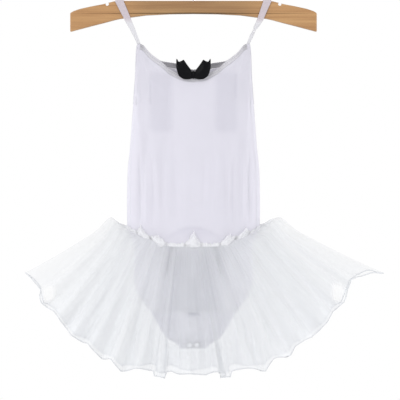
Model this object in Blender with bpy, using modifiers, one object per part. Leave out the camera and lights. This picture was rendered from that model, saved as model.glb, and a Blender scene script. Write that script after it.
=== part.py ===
"""A child's white ballet dress, hung by its two straps on a small wooden hanger.

A camisole leotard with a dropped, gathered waist carries a sheer flared skirt.
Lengths are in metres. +X is to the viewer's right as the dress is seen from the
front, the front faces -Y and +Z is up. The origin is the inside top of the
hanger's hook, where a rail holds it, so every height below is negative.
"""
from collections import namedtuple
from math import cos, pi, radians, sin

import bmesh
import bpy
import numpy as np

FRONT, BACK = -1, 1
LEFT, RIGHT = -1, 1

# Cloth and the gaps that part one piece from the next.
WALL = 0.0010
SEAM_GAP = 0.0005
LAYER_GAP = 0.0004
LAYER_STEP = WALL + LAYER_GAP
COLUMNS = 32
CREST_COLUMNS = 5
BODICE_ROWS = 10
TRIM_ROWS = 2
BRIEF_ROWS = {FRONT: 7, BACK: 10}
GUSSET_ROWS = 5

# The hanger: a flat board, its hook of round wire and the bore that takes it.
BOARD_THICKNESS = 0.012
BOARD_EDGE_RADIUS = 0.0015
BOARD_EDGE_SEGMENTS = 2
NOTCH_X = 0.1222
NOTCH_Z = -0.0661
NOTCH_RADIUS = 0.0024
WIRE_RADIUS = 0.00175
HOOK_INNER_RADIUS = 0.018
HOOK_TIP_ANGLE = -20
HOOK_LEAVE_ANGLE = 240
HOOK_STEP_ANGLE = 12
SHANK_END_Z = -0.0735
BORE_RADIUS = 0.0022
BORE_END_Z = -0.0745

BoardRow = namedtuple("BoardRow", "x top underside")
BOARD = (
    BoardRow(0.0000, -0.0615, -0.0798),
    BoardRow(0.0340, -0.0615, -0.0803),
    BoardRow(0.0670, -0.0615, -0.0820),
    BoardRow(0.1037, -0.0615, -0.0869),
    BoardRow(0.1125, -0.0621, -0.0889),
    BoardRow(0.1280, -0.0661, -0.0931),
    BoardRow(0.1450, -0.0693, -0.0974),
    BoardRow(0.1600, -0.0726, -0.1014),
    BoardRow(0.1696, -0.0758, -0.1039),
    BoardRow(0.1746, -0.0786, -0.1053),
)
BOARD_TOP = BOARD[0].top

# The body of the leotard, a row for each level from the shoulders to the crotch.
# edge is half the way between front and back at their side edges: closed at the
# side seams, open at the armholes and at the legs.
SEAM_EDGE = SEAM_GAP / 2
Level = namedtuple("Level", "z half_width front_depth back_depth edge")
BODY = (
    Level(-0.1229, 0.0793, 0.0125, 0.0120, 0.0100),
    Level(-0.1309, 0.0805, 0.0130, 0.0122, 0.0098),
    Level(-0.1705, 0.0822, 0.0148, 0.0130, 0.0080),
    Level(-0.1950, 0.0840, 0.0165, 0.0140, 0.0045),
    Level(-0.2088, 0.0850, 0.0172, 0.0146, SEAM_EDGE),
    Level(-0.2669, 0.0893, 0.0195, 0.0165, SEAM_EDGE),
    Level(-0.3080, 0.0930, 0.0212, 0.0185, SEAM_EDGE),
    Level(-0.3505, 0.0937, 0.0235, 0.0210, SEAM_EDGE),
    Level(-0.3800, 0.0932, 0.0255, 0.0232, SEAM_EDGE),
    Level(-0.4000, 0.0860, 0.0262, 0.0245, SEAM_EDGE),
    Level(-0.4128, 0.0820, 0.0255, 0.0245, SEAM_EDGE),
    Level(-0.4355, 0.0836, 0.0235, 0.0240, SEAM_EDGE),
    Level(-0.4568, 0.0836, 0.0215, 0.0225, SEAM_EDGE),
    Level(-0.4723, 0.0794, 0.0195, 0.0205, 0.0040),
    Level(-0.4893, 0.0687, 0.0175, 0.0185, 0.0080),
    Level(-0.5000, 0.0607, 0.0160, 0.0170, 0.0092),
    Level(-0.5120, 0.0534, 0.0142, 0.0150, 0.0092),
    Level(-0.5276, 0.0446, 0.0092, 0.0098, 0.0060),
    Level(-0.5361, 0.0390, 0.0044, 0.0046, 0.0030),
    Level(-0.5418, 0.0323, 0.0012, 0.0012, 0.0010),
    Level(-0.5435, 0.0295, 0.0007, 0.0007, 0.0007),
    Level(-0.5474, 0.0234, 0.0007, 0.0007, 0.0007),
    Level(-0.5538, 0.0177, 0.0007, 0.0007, 0.0007),
)
CROTCH_Z = BODY[-1].z
GUSSET_Z = -0.5007

# Neckline and waist seam, by share of the half width from the centre line.
CORNER_Z = BODY[0].z
CORNER_SHARE = 0.95
TRIM_HEIGHT = 0.0075
EdgeRow = namedtuple("EdgeRow", "share front back")
NECKLINE = (
    EdgeRow(0.00, -0.1691, -0.1585),
    EdgeRow(0.20, -0.1660, -0.1570),
    EdgeRow(0.31, -0.1622, -0.1552),
    EdgeRow(0.42, -0.1575, -0.1522),
    EdgeRow(0.54, -0.1488, -0.1478),
    EdgeRow(0.75, -0.1362, -0.1380),
    EdgeRow(0.94, CORNER_Z, CORNER_Z),
)
WAIST = (
    EdgeRow(0.00, -0.4072, -0.3632),
    EdgeRow(0.36, -0.4072, -0.3650),
    EdgeRow(0.53, -0.4035, -0.3672),
    EdgeRow(0.66, -0.3985, -0.3698),
    EdgeRow(0.78, -0.3940, -0.3725),
    EdgeRow(0.92, -0.3872, -0.3775),
    EdgeRow(1.00, -0.3815, -0.3815),
)

# Soft folds down the body: centre and half width by share of the half width.
Fold = namedtuple("Fold", "share spread height top foot")
BODY_FOLDS = (
    Fold(-0.84, 0.13, 0.0030, -0.200, -0.372),
    Fold(-0.60, 0.14, 0.0026, -0.225, -0.376),
    Fold(-0.32, 0.14, 0.0018, -0.250, -0.380),
    Fold(0.08, 0.15, 0.0012, -0.270, -0.385),
    Fold(0.36, 0.13, 0.0018, -0.250, -0.380),
    Fold(0.61, 0.14, 0.0028, -0.225, -0.376),
    Fold(0.84, 0.12, 0.0030, -0.205, -0.372),
)

# Gathered heading over the waist seam, with its pinched puffs.
HEADING_FOOT = 0.0003
HEADING_HEIGHT = 0.0035
HEADING_ROWS = 3
HEADING_COLUMNS = 56
HEADING_EDGE_SWELL = 0.25
Puff = namedtuple("Puff", "share spread rise stand")
FRONT_PUFFS = (
    Puff(-0.78, 0.075, 0.0090, 0.0050),
    Puff(-0.54, 0.080, 0.0075, 0.0060),
    Puff(0.00, 0.090, 0.0110, 0.0070),
    Puff(0.52, 0.080, 0.0080, 0.0060),
    Puff(0.76, 0.075, 0.0080, 0.0050),
)
BACK_PUFFS = (
    Puff(-0.72, 0.080, 0.0080, 0.0050),
    Puff(-0.38, 0.080, 0.0075, 0.0055),
    Puff(0.04, 0.085, 0.0090, 0.0060),
    Puff(0.44, 0.080, 0.0075, 0.0055),
    Puff(0.75, 0.080, 0.0085, 0.0050),
)

# The hem of the skirt, seen from the front: a row for each dip between two
# flutes. drop and stand belong to the flute on the dip's right: how far it hangs
# below the line from dip to dip, and how far it stands out from the cloth.
HemDip = namedtuple("HemDip", "x z drop stand")
HEM = (
    HemDip(-0.2383, -0.4464, 0.0015, 0.006),
    HemDip(-0.2203, -0.4723, 0.0030, 0.010),
    HemDip(-0.2005, -0.5007, 0.0035, 0.014),
    HemDip(-0.1750, -0.5304, 0.0030, 0.014),
    HemDip(-0.1523, -0.5474, 0.0045, 0.018),
    HemDip(-0.1240, -0.5680, 0.0040, 0.018),
    HemDip(-0.0942, -0.5843, 0.0010, 0.022),
    HemDip(-0.0581, -0.5850, 0.0095, 0.018),
    HemDip(-0.0354, -0.5857, 0.0060, 0.026),
    HemDip(0.0269, -0.5871, 0.0090, 0.018),
    HemDip(0.0560, -0.5850, 0.0010, 0.024),
    HemDip(0.1006, -0.5857, 0.0035, 0.018),
    HemDip(0.1339, -0.5630, 0.0045, 0.018),
    HemDip(0.1679, -0.5361, 0.0040, 0.016),
    HemDip(0.1963, -0.5035, 0.0030, 0.014),
    HemDip(0.2175, -0.4709, 0.0020, 0.008),
    HemDip(0.2303, -0.4532, 0.0010, 0.008),
    HemDip(0.2698, -0.4468, 0.0000, 0.000),
)
BACK_HEM_RAISE = 0.006
BACK_STAND = 0.016
BACK_DROP = 0.003
SKIRT_TOP = 0.0016
SKIRT_EDGE = WALL / 2 + SEAM_GAP / 2
HEM_DEPTH = 0.060
GATHER_SHARE = 0.13
FREE_SHARE = 0.5
SPREAD_POWER = 0.8

# How far the sheer cloth puffs up at the sides, by share of the way down.
PuffRow = namedtuple("PuffRow", "down lift")
SIDE_PUFF = (
    PuffRow(0.00, 0.000),
    PuffRow(0.06, 0.009),
    PuffRow(0.17, 0.026),
    PuffRow(0.30, 0.016),
    PuffRow(0.50, 0.010),
    PuffRow(0.75, 0.004),
    PuffRow(1.00, 0.000),
)
LIFT_POWER = {FRONT: 6, BACK: 3}

# Straps: rows from the bodice corner up to the board, at the front.
StrapRow = namedtuple("StrapRow", "x half_width y z")
FACE_Y = BOARD_THICKNESS / 2 + LAYER_GAP + WALL / 2
TURN_RADIUS = BOARD_EDGE_RADIUS + LAYER_GAP + WALL / 2
TURN_SEGMENTS = 3
STRAP_LEFT = (
    StrapRow(-0.0774, 0.0026, 0.0101, CORNER_Z + SEAM_GAP),
    StrapRow(-0.0800, 0.0028, 0.0094, -0.1160),
    StrapRow(-0.0862, 0.0038, 0.0078, -0.1020),
    StrapRow(-0.0925, 0.0048, FACE_Y, -0.0890),
    StrapRow(-0.0985, 0.0056, FACE_Y, -0.0760),
    StrapRow(-0.1046, 0.0061, FACE_Y, BOARD_TOP - BOARD_EDGE_RADIUS),
)
STRAP_RIGHT = (
    StrapRow(0.0774, 0.0022, 0.0101, CORNER_Z + SEAM_GAP),
    StrapRow(0.0810, 0.0026, 0.0094, -0.1140),
    StrapRow(0.0885, 0.0036, 0.0078, -0.1010),
    StrapRow(0.0945, 0.0046, FACE_Y, -0.0885),
    StrapRow(0.0990, 0.0050, FACE_Y, -0.0760),
    StrapRow(0.1042, 0.0058, FACE_Y, BOARD_TOP - BOARD_EDGE_RADIUS),
)

# The satin bow: sections of one wing from the knot outwards.
BOW_Z = -0.1660
BOW_BACK_Y = -0.0152
KNOT_HALF_WIDTH = 0.0036
KNOT_HALF_HEIGHT = 0.0064
KNOT_HALF_DEPTH = 0.0034
WingRow = namedtuple("WingRow", "x top foot half_depth")
BOW_WING = (
    WingRow(0.0040, 0.0050, -0.0055, 0.0022),
    WingRow(0.0075, 0.0105, -0.0068, 0.0030),
    WingRow(0.0110, 0.0165, -0.0072, 0.0036),
    WingRow(0.0140, 0.0208, -0.0070, 0.0038),
    WingRow(0.0175, 0.0200, -0.0062, 0.0036),
    WingRow(0.0205, 0.0180, -0.0040, 0.0034),
    WingRow(0.0232, 0.0210, 0.0020, 0.0028),
    WingRow(0.0245, 0.0200, 0.0080, 0.0018),
)
WING_SIDES = 12
WING_MIDDLE_Y = BOW_BACK_Y - max(row.half_depth for row in BOW_WING)

# Snaps on the tabs of the crotch.
SNAP_Z = -0.5490
SNAP_X = {"left": -0.0052, "right": 0.0048}
SNAP_STEPS = 16
SNAP_FACE_Y = -(BODY[-1].front_depth + WALL / 2 + LAYER_GAP)
ProfileRow = namedtuple("ProfileRow", "radius height")
SNAP_PROFILE = (
    ProfileRow(0.0000, 0.0006),
    ProfileRow(0.0018, 0.0006),
    ProfileRow(0.0023, 0.0015),
    ProfileRow(0.0036, 0.0015),
    ProfileRow(0.0043, 0.0008),
    ProfileRow(0.0043, 0.0000),
    ProfileRow(0.0000, 0.0000),
)

MERGE_DISTANCE = 0.00001
SMOOTH_ANGLE = radians(50)


def clear_scene():
    """Remove the objects that are already in the file."""
    for item in list(bpy.data.objects):
        bpy.data.objects.remove(item, do_unlink=True)


def new_collection(name):
    """Make a collection under the scene and return it."""
    group = bpy.data.collections.new(name)
    bpy.context.scene.collection.children.link(group)
    return group


def new_material(name, colour, roughness, metallic=0.0):
    """Make a plain Principled material."""
    material = bpy.data.materials.new(name)
    material.use_nodes = True
    shader = material.node_tree.nodes["Principled BSDF"]
    shader.inputs["Base Color"].default_value = (*colour, 1.0)
    shader.inputs["Roughness"].default_value = roughness
    shader.inputs["Metallic"].default_value = metallic
    material.diffuse_color = (*colour, 1.0)
    return material


def add_object(name, data, group, material=None):
    """Link an object that holds the data, and give it its material."""
    item = bpy.data.objects.new(name, data)
    group.objects.link(item)
    if material:
        data.materials.append(material)
    return item


def shade_smooth(mesh):
    """Smooth shading that stays sharp at the edges of a piece."""
    mesh.shade_smooth()
    mesh.set_sharp_from_angle(angle=SMOOTH_ANGLE)


def grid_mesh(name, points):
    """Mesh of quads over a grid of points, rows by columns."""
    rows, columns = points.shape[:2]
    index = np.arange(rows * columns).reshape(rows, columns)
    corners = (index[:-1, :-1], index[:-1, 1:], index[1:, 1:], index[1:, :-1])
    quads = np.stack(corners, axis=-1).reshape(-1, 4)
    mesh = bpy.data.meshes.new(name)
    mesh.from_pydata(points.reshape(-1, 3).tolist(), [], quads.tolist())
    mesh.update()
    return mesh


def add_cloth(name, points, group, material):
    """A panel of cloth: the wall that has a grid of points at its middle."""
    mesh = grid_mesh(name, points)
    shade_smooth(mesh)
    panel = add_object(name, mesh, group, material)
    wall = panel.modifiers.new("Wall", "SOLIDIFY")
    wall.thickness = WALL
    wall.offset = 0.0
    wall.use_quality_normals = True
    return panel


def grid_normals(points):
    """Unit normals of a grid of points, from its rows and columns."""
    along = np.gradient(points, axis=1)
    down = np.gradient(points, axis=0)
    normal = np.cross(along, down)
    return normal / np.linalg.norm(normal, axis=-1, keepdims=True)


def outward(points, side):
    """Unit normals of a grid, turned to the outside of the front or back."""
    normal = grid_normals(points)
    middle = normal[:, normal.shape[1] // 2, 1].mean()
    return normal if middle * side > 0 else -normal


def level_value(z, column):
    """Read one column of the body table at the heights z."""
    heights = [row.z for row in reversed(BODY)]
    values = [getattr(row, column) for row in reversed(BODY)]
    return np.interp(z, heights, values)


def edge_height(table, share, side):
    """Height of the neckline or waist seam at a share of the half width."""
    column = "front" if side == FRONT else "back"
    return np.interp(np.abs(share), [row.share for row in table],
                     [getattr(row, column) for row in table])


def bump(value, centre, spread):
    """Raised cosine: 1 at the centre, 0 at the spread on either side of it."""
    reach = np.clip((value - centre) / spread, -1, 1)
    return 0.5 + 0.5 * np.cos(pi * reach)


def fold_relief(share, z):
    """How far the soft folds stand out of the body."""
    relief = np.zeros(np.broadcast(share, z).shape)
    for fold in BODY_FOLDS:
        middle = (fold.top + fold.foot) / 2
        reach = (fold.top - fold.foot) / 2
        relief += fold.height * bump(share, fold.share, fold.spread) * bump(z, middle, reach)
    return relief


def body_surface(angle, z, side):
    """Points of the leotard at an angle from the centre line and a height."""
    depth = level_value(z, "front_depth" if side == FRONT else "back_depth")
    edge = level_value(z, "edge")
    share = np.sin(angle)
    stand = edge + (depth - edge + fold_relief(share * side, z)) * np.cos(angle)
    return np.stack([level_value(z, "half_width") * share, side * stand, z], axis=-1)


def panel_angles(columns=COLUMNS):
    """Angles of the columns of a panel, from side seam to side seam."""
    return np.linspace(-pi / 2, pi / 2, columns + 1)


def panel_between(top, foot, rows, side, angles):
    """Grid of the body's surface from its top heights to its foot heights."""
    share = np.linspace(0, 1, rows + 1)[:, None]
    z = top + (foot - top) * share
    return body_surface(np.broadcast_to(angles, z.shape), z, side)


def neck_height(angles, side):
    """Height of the neckline over each column."""
    return edge_height(NECKLINE, np.sin(angles), side)


def waist_height(angles, side):
    """Height of the waist seam over each column."""
    return edge_height(WAIST, np.sin(angles), side)


def bodice_top(angles, side):
    """Top edge of the bodice's cloth: under the trim, and full at the corners."""
    inside = np.abs(np.sin(angles)) < CORNER_SHARE
    return np.where(inside, neck_height(angles, side) - TRIM_HEIGHT - SEAM_GAP, CORNER_Z)


def build_bodice(side, group, material):
    """Front or back of the bodice, from the neckline to the waist seam."""
    angles = panel_angles()
    top = bodice_top(angles, side)
    foot = waist_height(angles, side) + SEAM_EDGE
    name = "bodice_front" if side == FRONT else "bodice_back"
    points = panel_between(top, foot, BODICE_ROWS, side, angles)
    return add_cloth(name, points, group, material)


def build_neck_trim(side, group, material):
    """Narrow elastic lace that finishes the neckline, edge to edge with the cloth."""
    angles = panel_angles()
    angles = angles[np.abs(np.sin(angles)) < CORNER_SHARE]
    top = neck_height(angles, side)
    points = panel_between(top, top - TRIM_HEIGHT, TRIM_ROWS, side, angles)
    name = "neck_trim_front" if side == FRONT else "neck_trim_back"
    return add_cloth(name, points, group, material)


def build_brief(side, group, material):
    """Front of the brief down to the gusset seam, or its whole back."""
    angles = panel_angles()
    top = waist_height(angles, side) - SEAM_EDGE
    foot = GUSSET_Z + SEAM_EDGE if side == FRONT else CROTCH_Z
    name = "brief_front" if side == FRONT else "brief_back"
    points = panel_between(top, np.full_like(top, foot), BRIEF_ROWS[side], side, angles)
    return add_cloth(name, points, group, material)


def build_gusset(group, material):
    """Gusset with the front tab of the crotch."""
    angles = panel_angles()
    top = np.full_like(angles, GUSSET_Z - SEAM_EDGE)
    foot = np.full_like(angles, CROTCH_Z)
    points = panel_between(top, foot, GUSSET_ROWS, FRONT, angles)
    return add_cloth("gusset", points, group, material)


def build_heading(side, puffs, group, material):
    """Gathered heading that lies on the body over the waist seam."""
    angles = panel_angles(HEADING_COLUMNS)
    share = np.sin(angles)
    rise = sum(puff.rise * bump(share, puff.share, puff.spread) for puff in puffs)
    stand = sum(puff.stand * bump(share, puff.share, puff.spread) for puff in puffs)
    foot = waist_height(angles, side) + HEADING_FOOT
    points = panel_between(foot + HEADING_HEIGHT + rise, foot, HEADING_ROWS, side, angles)
    height_share = np.linspace(1, 0, HEADING_ROWS + 1)[:, None]
    arch = HEADING_EDGE_SWELL + (1 - HEADING_EDGE_SWELL) * np.sin(pi * height_share)
    out = LAYER_STEP + stand * arch
    name = "waist_gathers_front" if side == FRONT else "waist_gathers_back"
    return add_cloth(name, points + outward(points, side) * out[..., None], group, material)


def hem_points():
    """Places of the front's dips along the hem, and their shares of its length."""
    x = np.array([dip.x for dip in HEM])
    z = np.array([dip.z for dip in HEM])
    length = np.concatenate([[0], np.cumsum(np.hypot(np.diff(x), np.diff(z)))])
    return x, z, length / length[-1]


def hem_line(side):
    """Hem of a skirt panel: share of its length, x, z and stand at each column.

    The back's dips lie midway between the front's, so its flutes fill their gaps.
    """
    x, z, share = hem_points()
    if side == FRONT:
        dips = share
        stands = np.array([dip.stand for dip in HEM])
        drops = np.array([dip.drop for dip in HEM])
    else:
        between = (share[1:] + share[:-1]) / 2
        dips = np.concatenate([[0], between[1:-1], [1]])
        stands = np.full(len(dips), BACK_STAND)
        drops = np.full(len(dips), BACK_DROP)
    flute = np.arange((len(dips) - 1) * CREST_COLUMNS + 1) / CREST_COLUMNS
    row = np.minimum(flute.astype(int), len(dips) - 2)
    crest = np.sin(pi * flute) ** 2
    at = np.interp(flute, np.arange(len(dips)), dips)
    height = np.interp(at, share, z) - drops[row] * crest
    if side == BACK:
        height = height + BACK_HEM_RAISE * np.sin(pi * at)
    return at, np.interp(at, share, x), height, stands[row] * crest


def build_skirt(side, group, material):
    """Half of the flared skirt, fluted from the gathered waist to the hem."""
    at, hem_x, hem_z, stand = hem_line(side)
    angles = (at - 0.5) * pi
    top = waist_height(angles, side) - SKIRT_TOP
    waist = panel_between(top, top - WALL, 1, side, angles)
    body_normal = outward(waist, side)[0]
    start = waist[0] + body_normal * LAYER_STEP
    start[:, 1] = side * np.maximum(np.abs(start[:, 1]), SKIRT_EDGE)
    down = np.array([row.down for row in SIDE_PUFF])[:, None]
    side_share = np.abs(np.sin(angles))
    lift = np.array([row.lift for row in SIDE_PUFF])[:, None] * side_share ** LIFT_POWER[side]
    hem_y = side * (SKIRT_EDGE + HEM_DEPTH * np.cos(angles))
    base = np.stack([
        start[:, 0] + (hem_x - start[:, 0]) * down,
        start[:, 1] + (hem_y - start[:, 1]) * down ** SPREAD_POWER,
        start[:, 2] + (hem_z - start[:, 2]) * down + lift,
    ], axis=-1)
    growth = GATHER_SHARE + (1 - GATHER_SHARE) * down
    free = np.clip(down / FREE_SHARE, 0, 1)[..., None]
    direction = body_normal * (1 - free) + outward(base, side) * free
    points = base + direction * (stand * growth)[..., None]
    name = "skirt_front" if side == FRONT else "skirt_back"
    return add_cloth(name, points, group, material)


def strap_path(rows):
    """Centre points and half widths of a strap, from the front corner to the back."""
    front = [(row.x, -row.y, row.z, row.half_width) for row in rows]
    top = rows[-1]
    turn_y = BOARD_THICKNESS / 2 - BOARD_EDGE_RADIUS
    turn = []
    for step in range(1, TURN_SEGMENTS + 1):
        angle = pi / 2 * step / TURN_SEGMENTS
        turn.append((top.x, -turn_y - TURN_RADIUS * cos(angle),
                     top.z + TURN_RADIUS * sin(angle), top.half_width))
    half = np.array(front + turn)
    back = half[::-1] * np.array([1, -1, 1, 1])
    return np.concatenate([half, back])


def build_strap(name, rows, group, material):
    """Narrow strap from the front corner, over the board and down to the back."""
    path = strap_path(rows)
    across = np.array([-1.0, 0.0, 1.0])[None, :, None] * path[:, None, 3:4]
    points = path[:, None, :3] + across * np.array([1.0, 0.0, 0.0])
    return add_cloth(name, points, group, material)


def poly_curve(name, points, closed=False):
    """Curve data through the points."""
    curve = bpy.data.curves.new(name, "CURVE")
    spline = curve.splines.new("POLY")
    spline.points.add(len(points) - 1)
    for point, place in zip(spline.points, points):
        point.co = (*place, 1.0)
    spline.use_cyclic_u = closed
    return curve


def mesh_from_curve(item, group):
    """Turn a curve object into a mesh object with welded caps."""
    bpy.context.view_layer.update()
    evaluated = item.evaluated_get(bpy.context.evaluated_depsgraph_get())
    mesh = bpy.data.meshes.new_from_object(evaluated)
    shape = bmesh.new()
    shape.from_mesh(mesh)
    bmesh.ops.remove_doubles(shape, verts=shape.verts, dist=MERGE_DISTANCE)
    shape.to_mesh(mesh)
    shape.free()
    solid = bpy.data.objects.new(item.name + "_solid", mesh)
    solid.matrix_world = item.matrix_world.copy()
    group.objects.link(solid)
    name = item.name
    bpy.data.objects.remove(item, do_unlink=True)
    solid.name = name
    return solid


def add_cutter(name, radius, depth, place, turn, cutters):
    """Round cutter that takes a bore or a notch out of the board."""
    bpy.ops.mesh.primitive_cylinder_add(vertices=16, radius=radius, depth=depth,
                                        location=place, rotation=turn)
    cutter = bpy.context.active_object
    cutter.name = name
    for owner in list(cutter.users_collection):
        owner.objects.unlink(cutter)
    cutters.objects.link(cutter)
    cutter.hide_render = True
    cutter.display_type = "WIRE"
    return cutter


def build_board(group, cutters, material):
    """Flat wooden board: its outline, rounded edges, two notches and the bore."""
    right = [(row.x, row.top, 0.0) for row in BOARD]
    right += [(row.x, row.underside, 0.0) for row in reversed(BOARD)]
    left = [(-x, y, z) for x, y, z in reversed(right) if x > 0]
    curve = poly_curve("hanger_board", right + left, closed=True)
    curve.dimensions = "2D"
    curve.fill_mode = "BOTH"
    curve.extrude = BOARD_THICKNESS / 2
    curve.materials.append(material)
    item = add_object("hanger_board", curve, group)
    item.rotation_euler = (pi / 2, 0, 0)
    board = mesh_from_curve(item, group)
    edge = board.modifiers.new("Rounded edges", "BEVEL")
    edge.width = BOARD_EDGE_RADIUS
    edge.segments = BOARD_EDGE_SEGMENTS
    edge.limit_method = "ANGLE"
    edge.angle_limit = radians(60)
    edge.use_clamp_overlap = False
    bore_depth = 2 * (BOARD_TOP - BORE_END_Z)
    cuts = [add_cutter("bore", BORE_RADIUS, bore_depth, (0, 0, BOARD_TOP), (0, 0, 0), cutters)]
    for name, hand in (("notch_left", LEFT), ("notch_right", RIGHT)):
        place = (hand * NOTCH_X, 0, NOTCH_Z)
        cuts.append(add_cutter(name, NOTCH_RADIUS, 2 * BOARD_THICKNESS, place,
                               (pi / 2, 0, 0), cutters))
    for cutter in cuts:
        cut = board.modifiers.new("Cut " + cutter.name, "BOOLEAN")
        cut.operation = "DIFFERENCE"
        cut.object = cutter
    shade_smooth(board.data)
    return board


def hook_path():
    """Centre line of the hook's wire: most of a ring, an S-bend and the shank."""
    ring = HOOK_INNER_RADIUS + WIRE_RADIUS
    centre_z = -HOOK_INNER_RADIUS
    points = []
    for degrees in range(HOOK_TIP_ANGLE, HOOK_LEAVE_ANGLE + 1, HOOK_STEP_ANGLE):
        angle = radians(degrees)
        points.append((ring * cos(angle), 0.0, centre_z + ring * sin(angle)))
    leave = radians(HOOK_LEAVE_ANGLE)
    bend_x = 2 * ring * cos(leave)
    bend_z = centre_z + 2 * ring * sin(leave)
    for degrees in range(HOOK_LEAVE_ANGLE - 180, -1, -HOOK_STEP_ANGLE):
        angle = radians(degrees)
        points.append((bend_x + ring * cos(angle), 0.0, bend_z + ring * sin(angle)))
    points.append((0.0, 0.0, SHANK_END_Z))
    return points


def build_hook(group, material):
    """Steel hook of round wire, its shank set in the board's bore."""
    curve = poly_curve("hanger_hook", hook_path())
    curve.dimensions = "3D"
    curve.bevel_depth = WIRE_RADIUS
    curve.bevel_resolution = 2
    curve.use_fill_caps = True
    curve.materials.append(material)
    return add_object("hanger_hook", curve, group)


def loft_mesh(name, rings):
    """Closed mesh through rings of equal point counts, with flat end caps."""
    count, sides = rings.shape[:2]
    index = np.arange(count * sides).reshape(count, sides)
    after = np.roll(index, -1, axis=1)
    quads = np.stack([index[:-1], after[:-1], after[1:], index[1:]], axis=-1).reshape(-1, 4)
    faces = quads.tolist() + [index[0][::-1].tolist(), index[-1].tolist()]
    mesh = bpy.data.meshes.new(name)
    mesh.from_pydata(rings.reshape(-1, 3).tolist(), [], faces)
    shape = bmesh.new()
    shape.from_mesh(mesh)
    bmesh.ops.recalc_face_normals(shape, faces=shape.faces)
    shape.to_mesh(mesh)
    shape.free()
    return mesh


def build_bow_wing(name, hand, group, material):
    """One puffed wing of the satin bow."""
    turn = np.linspace(0, 2 * pi, WING_SIDES, endpoint=False)
    rings = []
    for row in BOW_WING:
        middle = (row.top + row.foot) / 2
        reach = (row.top - row.foot) / 2
        ring = np.stack([
            np.full(WING_SIDES, hand * row.x),
            WING_MIDDLE_Y + row.half_depth * np.cos(turn),
            BOW_Z + middle + reach * np.sin(turn),
        ], axis=-1)
        rings.append(ring)
    mesh = loft_mesh(name, np.array(rings))
    shade_smooth(mesh)
    return add_object(name, mesh, group, material)


def build_bow_knot(group, material):
    """Knot of the bow: a rounded block that wraps the middle of the wings."""
    bpy.ops.mesh.primitive_uv_sphere_add(segments=16, ring_count=8, radius=1.0)
    knot = bpy.context.active_object
    knot.name = "bow_knot"
    reach = np.array([KNOT_HALF_WIDTH, KNOT_HALF_DEPTH, KNOT_HALF_HEIGHT])
    place = np.array([0.0, BOW_BACK_Y - KNOT_HALF_DEPTH, BOW_Z])
    for vertex in knot.data.vertices:
        vertex.co = np.array(vertex.co) * reach + place
    for owner in list(knot.users_collection):
        owner.objects.unlink(knot)
    group.objects.link(knot)
    knot.data.materials.append(material)
    shade_smooth(knot.data)
    return knot


def build_snap(name, x, group, material):
    """Round snap cap, turned from its profile."""
    mesh = bpy.data.meshes.new(name)
    points = [(row.radius, 0.0, row.height) for row in SNAP_PROFILE]
    edges = [(step, step + 1) for step in range(len(points) - 1)]
    mesh.from_pydata(points, edges, [])
    snap = add_object(name, mesh, group, material)
    snap.rotation_euler = (pi / 2, 0, 0)
    snap.location = (x, SNAP_FACE_Y, SNAP_Z)
    turn = snap.modifiers.new("Turned", "SCREW")
    turn.steps = SNAP_STEPS
    turn.render_steps = SNAP_STEPS
    turn.use_merge_vertices = True
    turn.merge_threshold = MERGE_DISTANCE
    turn.use_smooth_shade = True
    return snap


def main():
    """Build the dress and its hanger."""
    clear_scene()
    group = new_collection("ballet_dress")
    cutters = new_collection("cutters")
    wood = new_material("hanger_wood", (0.50, 0.27, 0.10), 0.45)
    steel = new_material("hook_steel", (0.62, 0.62, 0.64), 0.25, 1.0)
    jersey = new_material("white_jersey", (0.78, 0.77, 0.86), 0.80)
    chiffon = new_material("sheer_chiffon", (0.86, 0.86, 0.88), 0.70)
    lace = new_material("elastic_lace", (0.45, 0.43, 0.48), 0.85)
    satin = new_material("black_satin", (0.012, 0.012, 0.016), 0.35)
    snap_metal = new_material("snap_metal", (0.55, 0.55, 0.58), 0.30, 1.0)

    build_board(group, cutters, wood)
    build_hook(group, steel)
    build_strap("strap_left", STRAP_LEFT, group, jersey)
    build_strap("strap_right", STRAP_RIGHT, group, jersey)
    for side in (FRONT, BACK):
        build_bodice(side, group, jersey)
        build_neck_trim(side, group, lace)
        build_brief(side, group, jersey)
        build_skirt(side, group, chiffon)
    build_gusset(group, jersey)
    build_heading(FRONT, FRONT_PUFFS, group, chiffon)
    build_heading(BACK, BACK_PUFFS, group, chiffon)
    build_bow_wing("bow_left", LEFT, group, satin)
    build_bow_wing("bow_right", RIGHT, group, satin)
    build_bow_knot(group, satin)
    for hand, x in SNAP_X.items():
        build_snap("snap_" + hand, x, group, snap_metal)


main()
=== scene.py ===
# %% [markdown]
# # A child's ballet dress on its hanger
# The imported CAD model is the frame: it says how large each piece is and where it
# hangs. This file dresses it. Every cloth piece is made again as a thin shell on
# its solid's form, with the folds, gathers and seams that the solid leaves out.
# Lengths are in metres, +X is to the right, the front faces -Y and +Z is up.

# %% Load the frame
from math import pi, radians

import bmesh
import bpy
import numpy as np
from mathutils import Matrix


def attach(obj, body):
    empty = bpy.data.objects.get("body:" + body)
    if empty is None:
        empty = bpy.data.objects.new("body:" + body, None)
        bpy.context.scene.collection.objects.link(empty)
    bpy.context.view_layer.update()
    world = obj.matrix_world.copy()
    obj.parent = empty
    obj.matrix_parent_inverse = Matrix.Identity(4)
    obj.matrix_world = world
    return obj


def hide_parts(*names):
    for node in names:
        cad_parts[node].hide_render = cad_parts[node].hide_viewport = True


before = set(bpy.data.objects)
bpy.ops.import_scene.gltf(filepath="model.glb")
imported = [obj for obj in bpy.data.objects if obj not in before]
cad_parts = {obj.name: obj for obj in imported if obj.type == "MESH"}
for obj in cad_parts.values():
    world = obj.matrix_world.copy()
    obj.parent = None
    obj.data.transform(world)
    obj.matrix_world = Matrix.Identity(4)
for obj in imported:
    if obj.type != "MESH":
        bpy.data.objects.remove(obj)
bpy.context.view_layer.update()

FRONT, BACK = -1, 1
WORD = {FRONT: "front", BACK: "back"}
HANDS = {"left": -1, "right": 1}
print("nodes in the frame:", len(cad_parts))

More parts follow.
